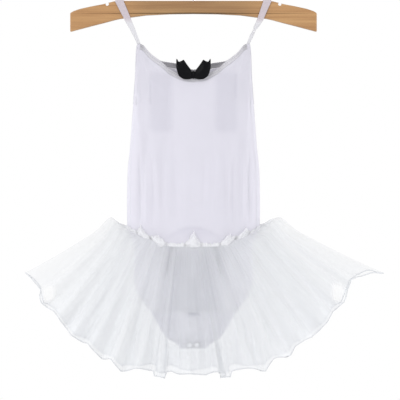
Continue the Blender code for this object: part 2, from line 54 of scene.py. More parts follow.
# %% [markdown]
# ## The camera and the light
# The photograph looks straight at the dress from some way off, so the camera is a
# long lens level with the middle of the picture. The backdrop is plain white. A
# world that is white to the camera and softer to the cloth keeps the dress a shade
# under the backdrop, as white cloth is in a light tent. One broad light from the
# upper left gives the folds their slight shading, a weaker one fills the right, and
# two more reach the sides from behind.

# %% Camera
PICTURE_WIDTH = 0.5668
PICTURE_CENTRE = (0.0092, -0.3434)
CAMERA_DISTANCE = 5.0
SENSOR = 36.0

camera_data = bpy.data.cameras.new("camera")
camera_data.sensor_width = SENSOR
camera_data.lens = SENSOR * CAMERA_DISTANCE / PICTURE_WIDTH
camera_data.clip_end = 50.0
camera = bpy.data.objects.new("camera", camera_data)
camera.location = (PICTURE_CENTRE[0], -CAMERA_DISTANCE, PICTURE_CENTRE[1])
camera.rotation_euler = (radians(90), 0, 0)
bpy.context.scene.collection.objects.link(camera)
bpy.context.scene.camera = camera
print("lens", round(camera_data.lens), "mm")

# %% World and lights
BACKDROP_TO_CLOTH = 0.72
scene = bpy.context.scene
scene.view_settings.view_transform = "Standard"
scene.cycles.transparent_max_bounces = 32
scene.cycles.max_bounces = 10
scene.cycles.diffuse_bounces = 5

world = bpy.data.worlds.new("light_tent")
world.use_nodes = True
scene.world = world
tree = world.node_tree
tree.nodes.clear()
path = tree.nodes.new("ShaderNodeLightPath")
seen = tree.nodes.new("ShaderNodeBackground")
seen.inputs["Color"].default_value = (1.0, 1.0, 1.0, 1.0)
lighting = tree.nodes.new("ShaderNodeBackground")
lighting.inputs["Color"].default_value = (0.97, 0.985, 1.0, 1.0)
lighting.inputs["Strength"].default_value = BACKDROP_TO_CLOTH
mix = tree.nodes.new("ShaderNodeMixShader")
out = tree.nodes.new("ShaderNodeOutputWorld")
tree.links.new(path.outputs["Is Camera Ray"], mix.inputs["Fac"])
tree.links.new(lighting.outputs[0], mix.inputs[1])
tree.links.new(seen.outputs[0], mix.inputs[2])
tree.links.new(mix.outputs[0], out.inputs["Surface"])

LIGHTS = (
    # name, place, size, watts
    ("key", (-1.5, -1.9, 1.1), 1.1, 29.0),
    ("fill", (1.8, -2.2, 0.1), 1.6, 15.0),
    ("side_left", (-2.2, 0.5, 0.0), 1.2, 14.0),
    ("side_right", (2.2, 0.5, 0.0), 1.2, 20.0),
)
aim = np.array((0.0, 0.0, -0.34))
for name, place, size, watts in LIGHTS:
    lamp = bpy.data.lights.new(name, "AREA")
    lamp.shape = "DISK"
    lamp.size = size
    lamp.energy = watts
    item = bpy.data.objects.new(name, lamp)
    item.location = place
    towards = aim - np.array(place)
    turn = np.arctan2(towards[1], towards[0])
    tilt = np.arccos(-towards[2] / np.linalg.norm(towards))
    item.rotation_euler = (tilt, 0, turn - pi / 2)
    scene.collection.objects.link(item)

# %% Floor
FLOOR_Z = -1.2
FLOOR_RADIUS = 3.0
FLOOR_SIDES = 64
floor_mesh = bpy.data.meshes.new("floor")
ring = np.linspace(0, 2 * pi, FLOOR_SIDES, endpoint=False)
disc = np.stack([FLOOR_RADIUS * np.cos(ring), FLOOR_RADIUS * np.sin(ring),
                 np.full(FLOOR_SIDES, FLOOR_Z)], axis=-1)
floor_mesh.from_pydata(disc.tolist(), [], [list(range(FLOOR_SIDES))])
floor = bpy.data.objects.new("floor", floor_mesh)
scene.collection.objects.link(floor)
floor_paint = bpy.data.materials.new("floor_paint")
floor_paint.use_nodes = True
finish = floor_paint.node_tree.nodes["Principled BSDF"].inputs
finish["Base Color"].default_value = (0.85, 0.85, 0.85, 1)
finish["Roughness"].default_value = 0.8
floor_mesh.materials.append(floor_paint)

# %% [markdown]
# ## Making a surface
# Every new piece is a grid of points: a function of two parameters worked out as
# whole arrays. One helper turns a grid into a mesh and stores the flat cloth's own
# coordinates, in metres, as a UV map, so that a weave follows the cloth and not the
# room. A closed tube is a grid whose last column joins its first.

# %% Grid helpers
def surface(name, points, uv=None, wrap=False, flip=False, **fields):
    """Mesh object over a grid of points, rows by columns.

    uv is a grid of flat cloth coordinates. wrap joins the last column to the first.
    Each further field is a grid of numbers kept as a point attribute.
    """
    rows, columns = points.shape[:2]
    index = np.arange(rows * columns).reshape(rows, columns)
    place = index
    if wrap:
        index = np.hstack([index, index[:, :1]])
        place = np.arange(rows * (columns + 1)).reshape(rows, columns + 1)

    def corners(grid):
        turn = (grid[:-1, :-1], grid[:-1, 1:], grid[1:, 1:], grid[1:, :-1])
        return np.stack(turn[::-1] if flip else turn, axis=-1).reshape(-1)

    loops = corners(index)
    mesh = bpy.data.meshes.new(name)
    mesh.vertices.add(rows * columns)
    mesh.vertices.foreach_set("co", points.reshape(-1).astype(np.float32))
    mesh.loops.add(len(loops))
    mesh.loops.foreach_set("vertex_index", loops.astype(np.int32))
    mesh.polygons.add(len(loops) // 4)
    mesh.polygons.foreach_set("loop_start", np.arange(0, len(loops), 4, dtype=np.int32))
    mesh.update(calc_edges=True)
    if uv is not None:
        layer = mesh.uv_layers.new(name="cloth")
        flat = uv.reshape(-1, 2)[corners(place)]
        layer.data.foreach_set("uv", flat.reshape(-1).astype(np.float32))
    for field, values in fields.items():
        kept = mesh.attributes.new(field, "FLOAT", "POINT")
        kept.data.foreach_set("value", values.reshape(-1).astype(np.float32))
    mesh.shade_smooth()
    item = bpy.data.objects.new(name, mesh)
    scene.collection.objects.link(item)
    return item


def run_length(path):
    """Length from the first point of a path to each of its points."""
    return np.concatenate([[0], np.cumsum(np.linalg.norm(np.diff(path, axis=0), axis=1))])


def cloth_uv(points):
    """Flat coordinates of a grid: metres along its middle row and down each column."""
    across = run_length(points[points.shape[0] // 2])
    steps = np.linalg.norm(np.diff(points, axis=0), axis=2)
    down = np.vstack([np.zeros(points.shape[1]), np.cumsum(steps, axis=0)])
    return np.stack([np.broadcast_to(across, down.shape), -down], axis=-1)


def unit(vectors):
    """Vectors scaled to length 1."""
    return vectors / np.maximum(np.linalg.norm(vectors, axis=-1, keepdims=True), 1e-12)


def normals(points):
    """Unit normals of a grid, from its rows and columns."""
    return unit(np.cross(np.gradient(points, axis=1), np.gradient(points, axis=0)))


def outward(points, side):
    """Unit normals of a front or back panel, turned away from the body."""
    normal = normals(points)
    return normal if normal[:, normal.shape[1] // 2, 1].mean() * side > 0 else -normal


def smooth_curve(x, places, values):
    """Smooth line through a table: a cubic on each span that never overshoots.

    Each slope is the weighted mean of the slopes on its two sides, and zero at a
    turning point.
    """
    places, values = np.asarray(places, float), np.asarray(values, float)
    span = np.diff(places)
    rise = np.diff(values) / span
    slope = np.concatenate([[rise[0]], np.zeros(len(rise) - 1), [rise[-1]]])
    same = rise[:-1] * rise[1:] > 0
    before, after = 2 * span[1:] + span[:-1], span[1:] + 2 * span[:-1]
    with np.errstate(divide="ignore", invalid="ignore"):
        mean = (before + after) / (before / rise[:-1] + after / rise[1:])
    slope[1:-1] = np.where(same, mean, 0.0)
    row = np.clip(np.searchsorted(places, x) - 1, 0, len(span) - 1)
    t = np.clip((x - places[row]) / span[row], 0, 1)
    leave, arrive = slope[row] * span[row] * t, slope[row + 1] * span[row] * t ** 2
    return (values[row] * (1 + 2 * t) * (1 - t) ** 2 + leave * (1 - t) ** 2
            + values[row + 1] * t ** 2 * (3 - 2 * t) + arrive * (t - 1))


def bump(value, centre, spread):
    """Raised cosine: 1 at the centre, 0 at the spread on either side of it."""
    return 0.5 + 0.5 * np.cos(pi * np.clip((value - centre) / spread, -1, 1))


def tube(name, path, radius, sides, squash=1.0):
    """Round cord along a path of points: a circle carried along it.

    The circle's own axes are the path's sideways direction and its normal.
    """
    path = np.asarray(path, float)
    along = unit(np.gradient(path, axis=0))
    guide = np.where(np.abs(along[:, 1:2]) > 0.9, [[1.0, 0.0, 0.0]], [[0.0, 1.0, 0.0]])
    side = unit(np.cross(along, guide))
    up = np.cross(side, along)
    turn = np.linspace(0, 2 * pi, sides, endpoint=False)
    reach = np.broadcast_to(radius, len(path))[:, None, None]
    ring = (side[:, None] * np.cos(turn)[None, :, None]
            + up[:, None] * np.sin(turn)[None, :, None] * squash)
    points = path[:, None] + ring * reach
    around = np.linspace(0, 2 * pi * np.mean(radius), sides + 1)
    uv = np.stack(np.broadcast_arrays(around[None, :], run_length(path)[:, None]), axis=-1)
    item = surface(name, points, uv, wrap=True)
    close_ends(item.data, sides, len(path))
    return item


def face_outward(mesh, *caps):
    """Add a flat cap over each list of points, and turn every face outwards."""
    shape = bmesh.new()
    shape.from_mesh(mesh)
    shape.verts.ensure_lookup_table()
    for cap in caps:
        shape.faces.new([shape.verts[i] for i in cap])
    bmesh.ops.recalc_face_normals(shape, faces=shape.faces)
    shape.to_mesh(mesh)
    shape.free()


def close_ends(mesh, sides, rings):
    """Close a tube's two open ends with a flat cap each."""
    last = (rings - 1) * sides
    face_outward(mesh, range(sides), range(last, last + sides))


def shell(item, thickness):
    """Give a cloth surface its thickness, half to each side."""
    wall = item.modifiers.new("Wall", "SOLIDIFY")
    wall.thickness = thickness
    wall.offset = 0.0
    wall.use_quality_normals = True
    return item


def wear(item, material, slot, *nodes):
    """Give a piece its material and body, and hide the CAD nodes it stands for; slot is not used."""
    item.data.materials.append(material)
    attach(item, "root")
    if nodes:
        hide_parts(*nodes)
    return item


def area_of(item):
    """Area of a piece's own mesh, before modifiers, in square metres."""
    sizes = np.zeros(len(item.data.polygons))
    item.data.polygons.foreach_get("area", sizes)
    return float(sizes.sum())


# %% [markdown]
# ## Finishes
# The effects that several materials share are node groups with named sockets: a knit
# for the jersey, a plain weave for chiffon, satin and elastic, and a soft mottle for
# the slight unevenness of washed cloth. Each material places them with its own scale.
# The shader itself stays in the material, with its plain numbers on its own sockets.

# %% Node helpers
def add(tree, kind, values=None, **settings):
    """Add a shader node, set its properties, and set or link its inputs."""
    item = tree.nodes.new("ShaderNode" + kind)
    for key, value in settings.items():
        setattr(item, key, value)
    for key, value in (values or {}).items():
        if isinstance(value, bpy.types.NodeSocket):
            tree.links.new(value, item.inputs[key])
        else:
            item.inputs[key].default_value = value
    return item


def maths(tree, operation, *values, clamp=False):
    """Result socket of a Math node."""
    item = add(tree, "Math", dict(enumerate(values)), operation=operation, use_clamp=clamp)
    return item.outputs[0]


def new_group(name, inputs, outputs):
    """Empty node group: its tree and its input and output nodes."""
    tree = bpy.data.node_groups.new(name, "ShaderNodeTree")
    for label, kind, value in inputs:
        made = tree.interface.new_socket(name=label, in_out="INPUT",
                                         socket_type="NodeSocket" + kind)
        if value is not None:
            made.default_value = value
    for label, kind in outputs:
        tree.interface.new_socket(name=label, in_out="OUTPUT",
                                  socket_type="NodeSocket" + kind)
    return tree, tree.nodes.new("NodeGroupInput"), tree.nodes.new("NodeGroupOutput")


def use_group(tree, group, **values):
    """Place a node group in a material with its own values."""
    item = tree.nodes.new("ShaderNodeGroup")
    item.node_tree = group
    for key, value in values.items():
        socket = item.inputs[key.replace("_", " ")]
        if isinstance(value, bpy.types.NodeSocket):
            tree.links.new(value, socket)
        else:
            socket.default_value = value
    return item


# %% Node groups
def make_knit():
    """Stocking stitch: columns of V-shaped loops.

    Across a wale the distance from its middle slants the courses, so that the height
    is the sine of the course number plus that distance, times a rounded wale.
    """
    tree, given, result = new_group("knit", [("Vector", "Vector", None), ("Wale", "Float", 0.0009),
                                             ("Course", "Float", 0.0007)],
                                    [("Height", "Float"), ("Furrow", "Float")])
    axes = add(tree, "SeparateXYZ", {0: given.outputs["Vector"]})
    wale = maths(tree, "DIVIDE", axes.outputs["X"], given.outputs["Wale"])
    course = maths(tree, "DIVIDE", axes.outputs["Y"], given.outputs["Course"])
    inside = maths(tree, "SUBTRACT", maths(tree, "FRACT", wale), 0.5)
    slant = maths(tree, "ABSOLUTE", inside)
    loops = maths(tree, "SINE", maths(tree, "MULTIPLY", maths(tree, "ADD", course, slant), 2 * pi))
    rib = maths(tree, "COSINE", maths(tree, "MULTIPLY", inside, 2 * pi))
    height = maths(tree, "MULTIPLY_ADD", loops, 0.35, rib)
    tree.links.new(height, result.inputs["Height"])
    furrow = maths(tree, "MULTIPLY_ADD", rib, -0.5, 0.5)
    tree.links.new(furrow, result.inputs["Furrow"])
    return tree


def make_weave():
    """Plain weave: warp and weft take turns on top, as sines a quarter turn apart."""
    tree, given, result = new_group("weave", [("Vector", "Vector", None), ("Warp", "Float", 0.0005),
                                              ("Weft", "Float", 0.0005)],
                                    [("Height", "Float"), ("Hole", "Float")])
    axes = add(tree, "SeparateXYZ", {0: given.outputs["Vector"]})
    warp = maths(tree, "MULTIPLY", maths(tree, "DIVIDE", axes.outputs["X"], given.outputs["Warp"]), pi)
    weft = maths(tree, "MULTIPLY", maths(tree, "DIVIDE", axes.outputs["Y"], given.outputs["Weft"]), pi)
    over = maths(tree, "MULTIPLY", maths(tree, "SINE", warp), maths(tree, "SINE", weft))
    tree.links.new(over, result.inputs["Height"])
    gaps = maths(tree, "MULTIPLY", maths(tree, "ABSOLUTE", maths(tree, "COSINE", warp)),
                 maths(tree, "ABSOLUTE", maths(tree, "COSINE", weft)))
    tree.links.new(gaps, result.inputs["Hole"])
    return tree


def make_mottle():
    """Soft unevenness: a noise of a few octaves about 1, as a factor for a colour."""
    tree, given, result = new_group("mottle", [("Vector", "Vector", None), ("Size", "Float", 0.02),
                                               ("Amount", "Float", 0.04)], [("Factor", "Float")])
    scale = maths(tree, "DIVIDE", 1.0, given.outputs["Size"])
    broad = add(tree, "TexNoise", {"Vector": given.outputs["Vector"], "Scale": scale, "Detail": 3.0})
    shift = maths(tree, "SUBTRACT", broad.outputs["Fac"], 0.5)
    factor = maths(tree, "MULTIPLY_ADD", shift, maths(tree, "MULTIPLY", given.outputs["Amount"], 4.0), 1.0)
    tree.links.new(factor, result.inputs["Factor"])
    return tree


KNIT, WEAVE, MOTTLE = make_knit(), make_weave(), make_mottle()


# %% Cloth materials
def new_material(name, roughness, metallic=0.0, sheen=0.0):
    """Material with a Principled shader: its tree and the shader."""
    material = bpy.data.materials.new(name)
    material.use_nodes = True
    tree = material.node_tree
    shader = tree.nodes["Principled BSDF"]
    shader.inputs["Roughness"].default_value = roughness
    shader.inputs["Metallic"].default_value = metallic
    shader.inputs["Sheen Weight"].default_value = sheen
    shader.inputs["Sheen Roughness"].default_value = 0.5
    return material, tree, shader


def paint(tree, shader, colour, *factors):
    """Feed the base colour: a plain colour, or a socket's, times each grey factor."""
    result = colour
    if not isinstance(colour, bpy.types.NodeSocket):
        result = add(tree, "RGB").outputs[0]
        result.default_value = (*colour, 1.0)
    for factor in factors:
        mix = add(tree, "Mix", data_type="RGBA", blend_type="MULTIPLY")
        mix.inputs[0].default_value = 1.0
        tree.links.new(result, mix.inputs[6])
        grey = add(tree, "CombineColor", {0: factor, 1: factor, 2: factor})
        tree.links.new(grey.outputs[0], mix.inputs[7])
        result = mix.outputs[2]
    tree.links.new(result, shader.inputs["Base Color"])


def relief(tree, shader, height, distance, strength=1.0):
    """Feed a height in the cloth to the shader's normal."""
    item = add(tree, "Bump", {"Height": height, "Distance": distance, "Strength": strength})
    tree.links.new(item.outputs["Normal"], shader.inputs["Normal"])


def woven(tree, warp, weft):
    """The weave laid on the flat cloth, with the spacing of its two threads."""
    flat = add(tree, "UVMap", uv_map="cloth").outputs[0]
    return use_group(tree, WEAVE, Vector=flat, Warp=warp, Weft=weft)


def mottled(tree, size, amount):
    """Factor socket of the mottle, laid in the piece's own space."""
    place = add(tree, "TexCoord").outputs["Object"]
    return use_group(tree, MOTTLE, Vector=place, Size=size, Amount=amount).outputs["Factor"]


def kept(tree, name):
    """Socket of a number that the mesh keeps at its points."""
    return add(tree, "Attribute", attribute_name=name).outputs["Fac"]


def fading(tree, name):
    """Grey factor: 1 less a number that the mesh keeps at its points."""
    return maths(tree, "MULTIPLY_ADD", kept(tree, name), -1.0, 1.0)


# the jersey's own white, and the bluish colour of its painted shade
JERSEY_WHITE, JERSEY_SHADE_TINT = (0.785, 0.765, 0.845, 1.0), (0.0, 0.0, 0.13, 1.0)


def make_jersey():
    """White knitted jersey: matt, a little lavender, with painted shade in its furrows and marked places.
    """
    material, tree, shader = new_material("white_jersey_knit", 0.85, sheen=0.25)
    knit = use_group(tree, KNIT, Vector=add(tree, "UVMap", uv_map="cloth").outputs[0])
    # painted shade: the colour blends to the bluish shade by the number the mesh keeps
    blend = add(tree, "Mix", {0: kept(tree, "doubled"), 6: JERSEY_WHITE, 7: JERSEY_SHADE_TINT},
                data_type="RGBA")
    # painted shade in the furrows between the wales
    furrow = maths(tree, "MULTIPLY_ADD", knit.outputs["Furrow"], -0.05, 1.0)
    paint(tree, shader, blend.outputs[2], mottled(tree, 0.03, 0.012), furrow)
    relief(tree, shader, knit.outputs["Height"], 0.00012)
    return material


def make_chiffon(name, colour):
    """Sheer white chiffon: seen through, more so where it lies single and flat."""
    material, tree, shader = new_material(name, 0.65, sheen=0.3)
    weave = woven(tree, 0.0006, 0.0006)
    gaps = maths(tree, "MULTIPLY_ADD", weave.outputs["Hole"], -0.35, 1.15)
    veil = maths(tree, "MULTIPLY", kept(tree, "cover"), gaps, clamp=True)
    tree.links.new(veil, shader.inputs["Alpha"])
    # painted shade and highlight where the mesh marks them
    paint(tree, shader, colour, mottled(tree, 0.02, 0.015), fading(tree, "doubled"))
    relief(tree, shader, weave.outputs["Height"], 0.00008)
    return material


OVER_WOOD_SHADE_TINT = (0.80, 0.71, 0.73)


def make_elastic(name, colour, ribs=0.0011):
    """Woven elastic: fine ribs across a matt band, with a painted warm shade where it lies over the wood.
    """
    material, tree, shader = new_material(name, 0.7, sheen=0.15)
    weave = woven(tree, ribs, ribs * 0.6)
    # painted shade in the low parts of the weave
    shade = maths(tree, "MULTIPLY_ADD", weave.outputs["Height"], 0.05, 0.97)
    # painted warm shade where the band lies over the wood
    warm = tuple(np.array(colour) * OVER_WOOD_SHADE_TINT)
    blend = add(tree, "Mix", {0: kept(tree, "over_wood"), 6: (*colour, 1.0), 7: (*warm, 1.0)},
                data_type="RGBA")
    paint(tree, shader, blend.outputs[2], mottled(tree, 0.012, 0.02), shade)
    relief(tree, shader, weave.outputs["Height"], 0.00015)
    return material


def make_satin():
    """Black satin ribbon: smooth along the thread, with a soft broad gloss."""
    material, tree, shader = new_material("black_satin_ribbon", 0.38)
    shader.inputs["Specular IOR Level"].default_value = 0.08
    weave = woven(tree, 0.0004, 0.0012)
    # painted shade and highlight: darker where the threads dip, lighter where they rise
    shade = maths(tree, "MULTIPLY_ADD", weave.outputs["Height"], 0.15, 1.0)
    paint(tree, shader, (0.004, 0.004, 0.005), shade)
    relief(tree, shader, weave.outputs["Height"], 0.00005)
    return material


def make_thread():
    """White sewing thread: matt, with the slanting plies of its twist."""
    material, tree, shader = new_material("sewing_thread_twist", 0.7, sheen=0.1)
    place = add(tree, "TexCoord").outputs["Object"]
    plies = add(tree, "TexWave", {"Vector": place, "Scale": 1500.0, "Distortion": 1.0})
    # painted shade in the grooves between the plies
    shade = maths(tree, "MULTIPLY_ADD", plies.outputs["Fac"], 0.12, 0.90)
    paint(tree, shader, (0.72, 0.71, 0.75), shade)
    relief(tree, shader, plies.outputs["Fac"], 0.00005)
    return material


def make_metal(name, colour, roughness):
    """Bright metal with faint rubbing marks, darker where the mesh marks it, as on the snaps' outer rims.
    """
    material, tree, shader = new_material(name, roughness, metallic=1.0)
    marks = mottled(tree, 0.003, 0.06)
    paint(tree, shader, colour, marks, fading(tree, "groove"))
    tree.links.new(maths(tree, "MULTIPLY", marks, roughness), shader.inputs["Roughness"])
    return material


JERSEY = make_jersey()
CHIFFON = make_chiffon("sheer_chiffon_skirt", (0.79, 0.80, 0.825))
# the same chiffon as the skirt, painted lighter: a painted highlight on the puffs
HEADING_LIT_CHIFFON = make_chiffon("gathered_chiffon_painted_light", (0.90, 0.90, 0.925))
STRAP_ELASTIC = make_elastic("strap_elastic_weave", (0.74, 0.73, 0.76))
BINDING = make_elastic("binding_elastic", (0.70, 0.69, 0.74), 0.0008)
SATIN = make_satin()
THREAD = make_thread()
SNAP_METAL = make_metal("snap_metal_bright", (0.78, 0.78, 0.82), 0.30)
HOOK_METAL = make_metal("hook_steel_bright", (0.62, 0.62, 0.64), 0.22)
print("materials:", len(bpy.data.materials))

# %% [markdown]
# ## Places on the photograph
# The hanger gives the scale: 350 mm over 247 pixels. Places that were read off the
# photograph are kept in its pixels, and one function turns them into metres.

# %% Picture to metres
PIXEL = 0.001417
PICTURE_MIDDLE = 193.5
PICTURE_TOP = -0.060


def spot(x, y):
    """Metres across and up for a place in the picture."""
    return (x - PICTURE_MIDDLE) * PIXEL, PICTURE_TOP - y * PIXEL


def crease_relief(x, z, creases):
    """Height of listed folds over places on the cloth.

    Each row runs from one place in the picture to another, with its half width and
    height in millimetres and how far its middle bows sideways. Across it the height
    falls as exp(-(distance / width) ** 2); along it, it swells from nothing and back.
    """
    total = np.zeros(np.broadcast(x, z).shape)
    for x0, y0, x1, y1, width, height, bow in creases:
        start, end = np.array(spot(x0, y0)), np.array(spot(x1, y1))
        run = end - start
        length = np.hypot(*run)
        along = ((x - start[0]) * run[0] + (z - start[1]) * run[1]) / length ** 2
        off = ((x - start[0]) * run[1] - (z - start[1]) * run[0]) / length
        along = np.clip(along, 0, 1)
        off = off - bow * 0.001 * 4 * along * (1 - along)
        swell = np.sin(pi * along) ** 0.7
        total += height * 0.001 * swell * np.exp(-(off / (width * 0.001)) ** 2)
    return total


def patch(x, z, left, right, top, foot, soft):
    """1 inside a rectangle of the picture, falling to 0 over the soft width outside."""
    x0, z0 = spot(left, top)
    x1, z1 = spot(right, foot)
    soft = soft * PIXEL
    across = np.clip((x - x0) / soft, 0, 1) * np.clip((x1 - x) / soft, 0, 1)
    down = np.clip((z0 - z) / soft, 0, 1) * np.clip((z - z1) / soft, 0, 1)
    value = across * down
    return value * value * (3 - 2 * value)


def patches(x, z, rows):
    """Sum of amounts, each kept to its own rectangle of the picture."""
    return sum(amount * patch(x, z, *place) for amount, *place in rows)


# %% [markdown]
# ## The hanger
# A flat board sawn from pale brown wood, with rounded edges. The solid's shape is
# right, so it keeps its mesh and gets a grain: noise drawn out along the board, with
# fine pores, and a painted shade over its middle. The hook is a bent wire, made
# again as a finer tube.

# %% Wood
def make_wood():
    """Varnished pale wood: broad bands, fine pores and a painted shade over its middle."""
    material, tree, shader = new_material("hanger_wood_grain", 0.42)
    shader.inputs["Coat Weight"].default_value = 0.25
    shader.inputs["Coat Roughness"].default_value = 0.25
    place = add(tree, "TexCoord").outputs["Object"]
    drawn = add(tree, "Mapping", {"Vector": place, "Location": (0.4, 1.7, 2.3),
                                  "Scale": (3.0, 40.0, 60.0)})
    bands = add(tree, "TexNoise", {"Vector": drawn.outputs[0], "Scale": 1.6, "Detail": 6.0,
                                   "Distortion": 0.6})
    fine = add(tree, "Mapping", {"Vector": place, "Scale": (20.0, 500.0, 700.0)})
    pores = add(tree, "TexNoise", {"Vector": fine.outputs[0], "Scale": 1.0, "Detail": 4.0})
    ramp = add(tree, "ValToRGB", {"Fac": bands.outputs["Fac"]})
    ramp.color_ramp.elements[0].position = 0.3
    ramp.color_ramp.elements[0].color = (0.33, 0.155, 0.055, 1)
    ramp.color_ramp.elements[1].position = 0.72
    ramp.color_ramp.elements[1].color = (0.54, 0.31, 0.13, 1)
    axes = add(tree, "SeparateXYZ", {0: place})
    # painted shade: the board is darker towards its middle
    middle_shade = add(tree, "MapRange", {0: maths(tree, "ABSOLUTE", axes.outputs["X"]), 1: 0.055,
                                   2: 0.125, 3: 0.72, 4: 1.0}, interpolation_type="SMOOTHSTEP")
    grain = maths(tree, "MULTIPLY", maths(tree, "MULTIPLY_ADD", pores.outputs["Fac"], 0.35, 0.84),
                  middle_shade.outputs[0])
    paint(tree, shader, ramp.outputs["Color"], grain)
    relief(tree, shader, pores.outputs["Fac"], 0.0002, 0.5)
    return material


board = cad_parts["hanger_board"]
wood = make_wood()
if not board.material_slots:
    board.data.materials.append(wood)
for used in board.material_slots:
    used.material = wood

# %% Hook
WIRE_RADIUS = 0.00175
HOOK_INNER_RADIUS = 0.018
HOOK_ARC = (-20, 240)
SHANK_END_Z = -0.0735
HOOK_STEPS = 90


def hook_path():
    """Most of a ring, an equal bend the other way, and the straight shank."""
    ring = HOOK_INNER_RADIUS + WIRE_RADIUS
    first = np.radians(np.linspace(*HOOK_ARC, HOOK_STEPS))
    over = np.stack([ring * np.cos(first), -HOOK_INNER_RADIUS + ring * np.sin(first)], axis=-1)
    leave = first[-1]
    centre = np.array([2 * ring * np.cos(leave), -HOOK_INNER_RADIUS + 2 * ring * np.sin(leave)])
    second = np.linspace(leave - pi, 0, HOOK_STEPS // 4)[1:]
    under = centre + ring * np.stack([np.cos(second), np.sin(second)], axis=-1)
    shank = np.stack([np.zeros(6), np.linspace(under[-1, 1], SHANK_END_Z, 7)[1:]], axis=-1)
    flat = np.concatenate([over, under, shank])
    return np.stack([flat[:, 0], np.zeros(len(flat)), flat[:, 1]], axis=-1)


path = hook_path()
# the first rings shrink as a circle does, which rounds off the hook's end
tip = np.full(len(path), WIRE_RADIUS)
tip[:5] = WIRE_RADIUS * np.sqrt(1 - ((4 - np.arange(5)) / 4.6) ** 2)
hook = tube("hook_wire", path, tip, sides=24)
wear(hook, HOOK_METAL, "hook_steel", "hanger_hook")
print("hook points:", len(path))

# %% [markdown]
# ## The body of the leotard
# Front and back are cut flat and sewn at the sides, so each hangs as a shallow curved
# shell. Its section is an ellipse-like arch whose width and depth are read from a
# table of levels; the neckline and the waist seam are read from tables too. Folds
# come from rows placed along the darker and lighter lines of the photograph.

# %% Tables of the body
SEAM_EDGE = 0.00025
LEVELS = np.array([
    # height, half width, front depth, back depth, half the gap at the side edge
    (-0.1229, 0.0793, 0.0125, 0.0120, 0.0100),
    (-0.1309, 0.0805, 0.0130, 0.0122, 0.0098),
    (-0.1705, 0.0822, 0.0148, 0.0130, 0.0080),
    (-0.1950, 0.0840, 0.0165, 0.0140, 0.0045),
    (-0.2088, 0.0850, 0.0172, 0.0146, SEAM_EDGE),
    (-0.2669, 0.0893, 0.0195, 0.0165, SEAM_EDGE),
    (-0.3080, 0.0930, 0.0212, 0.0185, SEAM_EDGE),
    (-0.3505, 0.0937, 0.0235, 0.0210, SEAM_EDGE),
    (-0.3800, 0.0932, 0.0255, 0.0232, SEAM_EDGE),
    (-0.4000, 0.0860, 0.0262, 0.0245, SEAM_EDGE),
    (-0.4128, 0.0820, 0.0255, 0.0245, SEAM_EDGE),
    (-0.4355, 0.0836, 0.0235, 0.0240, SEAM_EDGE),
    (-0.4568, 0.0836, 0.0215, 0.0225, SEAM_EDGE),
    (-0.4723, 0.0794, 0.0195, 0.0205, 0.0040),
    (-0.4893, 0.0687, 0.0175, 0.0185, 0.0080),
    (-0.5000, 0.0607, 0.0160, 0.0170, 0.0092),
    (-0.5120, 0.0534, 0.0142, 0.0150, 0.0092),
    (-0.5276, 0.0446, 0.0092, 0.0098, 0.0060),
    (-0.5361, 0.0390, 0.0044, 0.0046, 0.0030),
    (-0.5418, 0.0323, 0.0012, 0.0012, 0.0010),
    (-0.5435, 0.0295, 0.0007, 0.0007, 0.0007),
    (-0.5474, 0.0234, 0.0007, 0.0007, 0.0007),
    (-0.5538, 0.0177, 0.0007, 0.0007, 0.0007),
])[::-1]
CORNER_Z, CROTCH_Z, GUSSET_Z = -0.1229, -0.5538, -0.5007
CORNER_SHARE = 0.95
TAB_TOP, TAB_SOFT = -0.5400, 0.012
SEAM_SOFT, JERSEY_WALL = 0.02, 0.0008
TRIM_HEIGHT = 0.0075
TRIM_GAP = 0.0003
NECKLINE = np.array([
    # share of the half width, front height, back height
    (0.00, -0.1691, -0.1580), (0.20, -0.1660, -0.1555), (0.31, -0.1622, -0.1492),
    (0.42, -0.1575, -0.1478), (0.54, -0.1488, -0.1462), (0.75, -0.1362, -0.1378),
    (0.94, CORNER_Z, CORNER_Z), (1.00, CORNER_Z, CORNER_Z),
])
WAIST = np.array([
    # share of the half width, front height, back height
    (0.00, -0.4072, -0.3632), (0.36, -0.4072, -0.3650), (0.53, -0.4035, -0.3672),
    (0.66, -0.3985, -0.3698), (0.78, -0.3940, -0.3725), (0.92, -0.3872, -0.3775),
    (1.00, -0.3815, -0.3815),
])
BODY_FOLDS = (
    # share, half width by share, height, top, foot
    (-0.84, 0.13, 0.0030, -0.200, -0.372), (-0.60, 0.14, 0.0026, -0.225, -0.376),
    (-0.32, 0.14, 0.0018, -0.250, -0.380), (0.08, 0.15, 0.0012, -0.270, -0.385),
    (0.36, 0.13, 0.0018, -0.250, -0.380), (0.61, 0.14, 0.0028, -0.225, -0.376),
    (0.84, 0.12, 0.0030, -0.205, -0.372),
)


def level(z, column):
    """One column of the table of levels, read smoothly at the heights z."""
    return smooth_curve(z, LEVELS[:, 0], LEVELS[:, column])


def edge_height(table, share, side):
    """Height of the neckline or the waist seam at a share of the half width."""
    return smooth_curve(np.abs(share), table[:, 0], table[:, 1 if side == FRONT else 2])


def body_points(angle, z, side):
    """Points of the leotard at an angle from the centre line and a height.

    Across: the half width times the sine of the angle. Out: the edge's distance plus
    the rest of the depth, with its broad folds, times the cosine of the angle.
    """
    share = np.sin(angle)
    fold = np.zeros(z.shape)
    for middle, spread, height, top, foot in BODY_FOLDS:
        fold += (height * bump(share * side, middle, spread)
                 * bump(z, (top + foot) / 2, (top - foot) / 2))
    edge = level(z, 4)
    out = edge + (level(z, 2 if side == FRONT else 3) - edge + fold) * np.cos(angle)
    return np.stack([level(z, 1) * share, side * out, z], axis=-1)


def panel(top, foot, rows, side, angles):
    """Grid of the body between two edges, each a height for every column."""
    share = np.linspace(0, 1, rows + 1)[:, None]
    z = top + (foot - top) * share
    return body_points(np.broadcast_to(angles, z.shape), z, side)


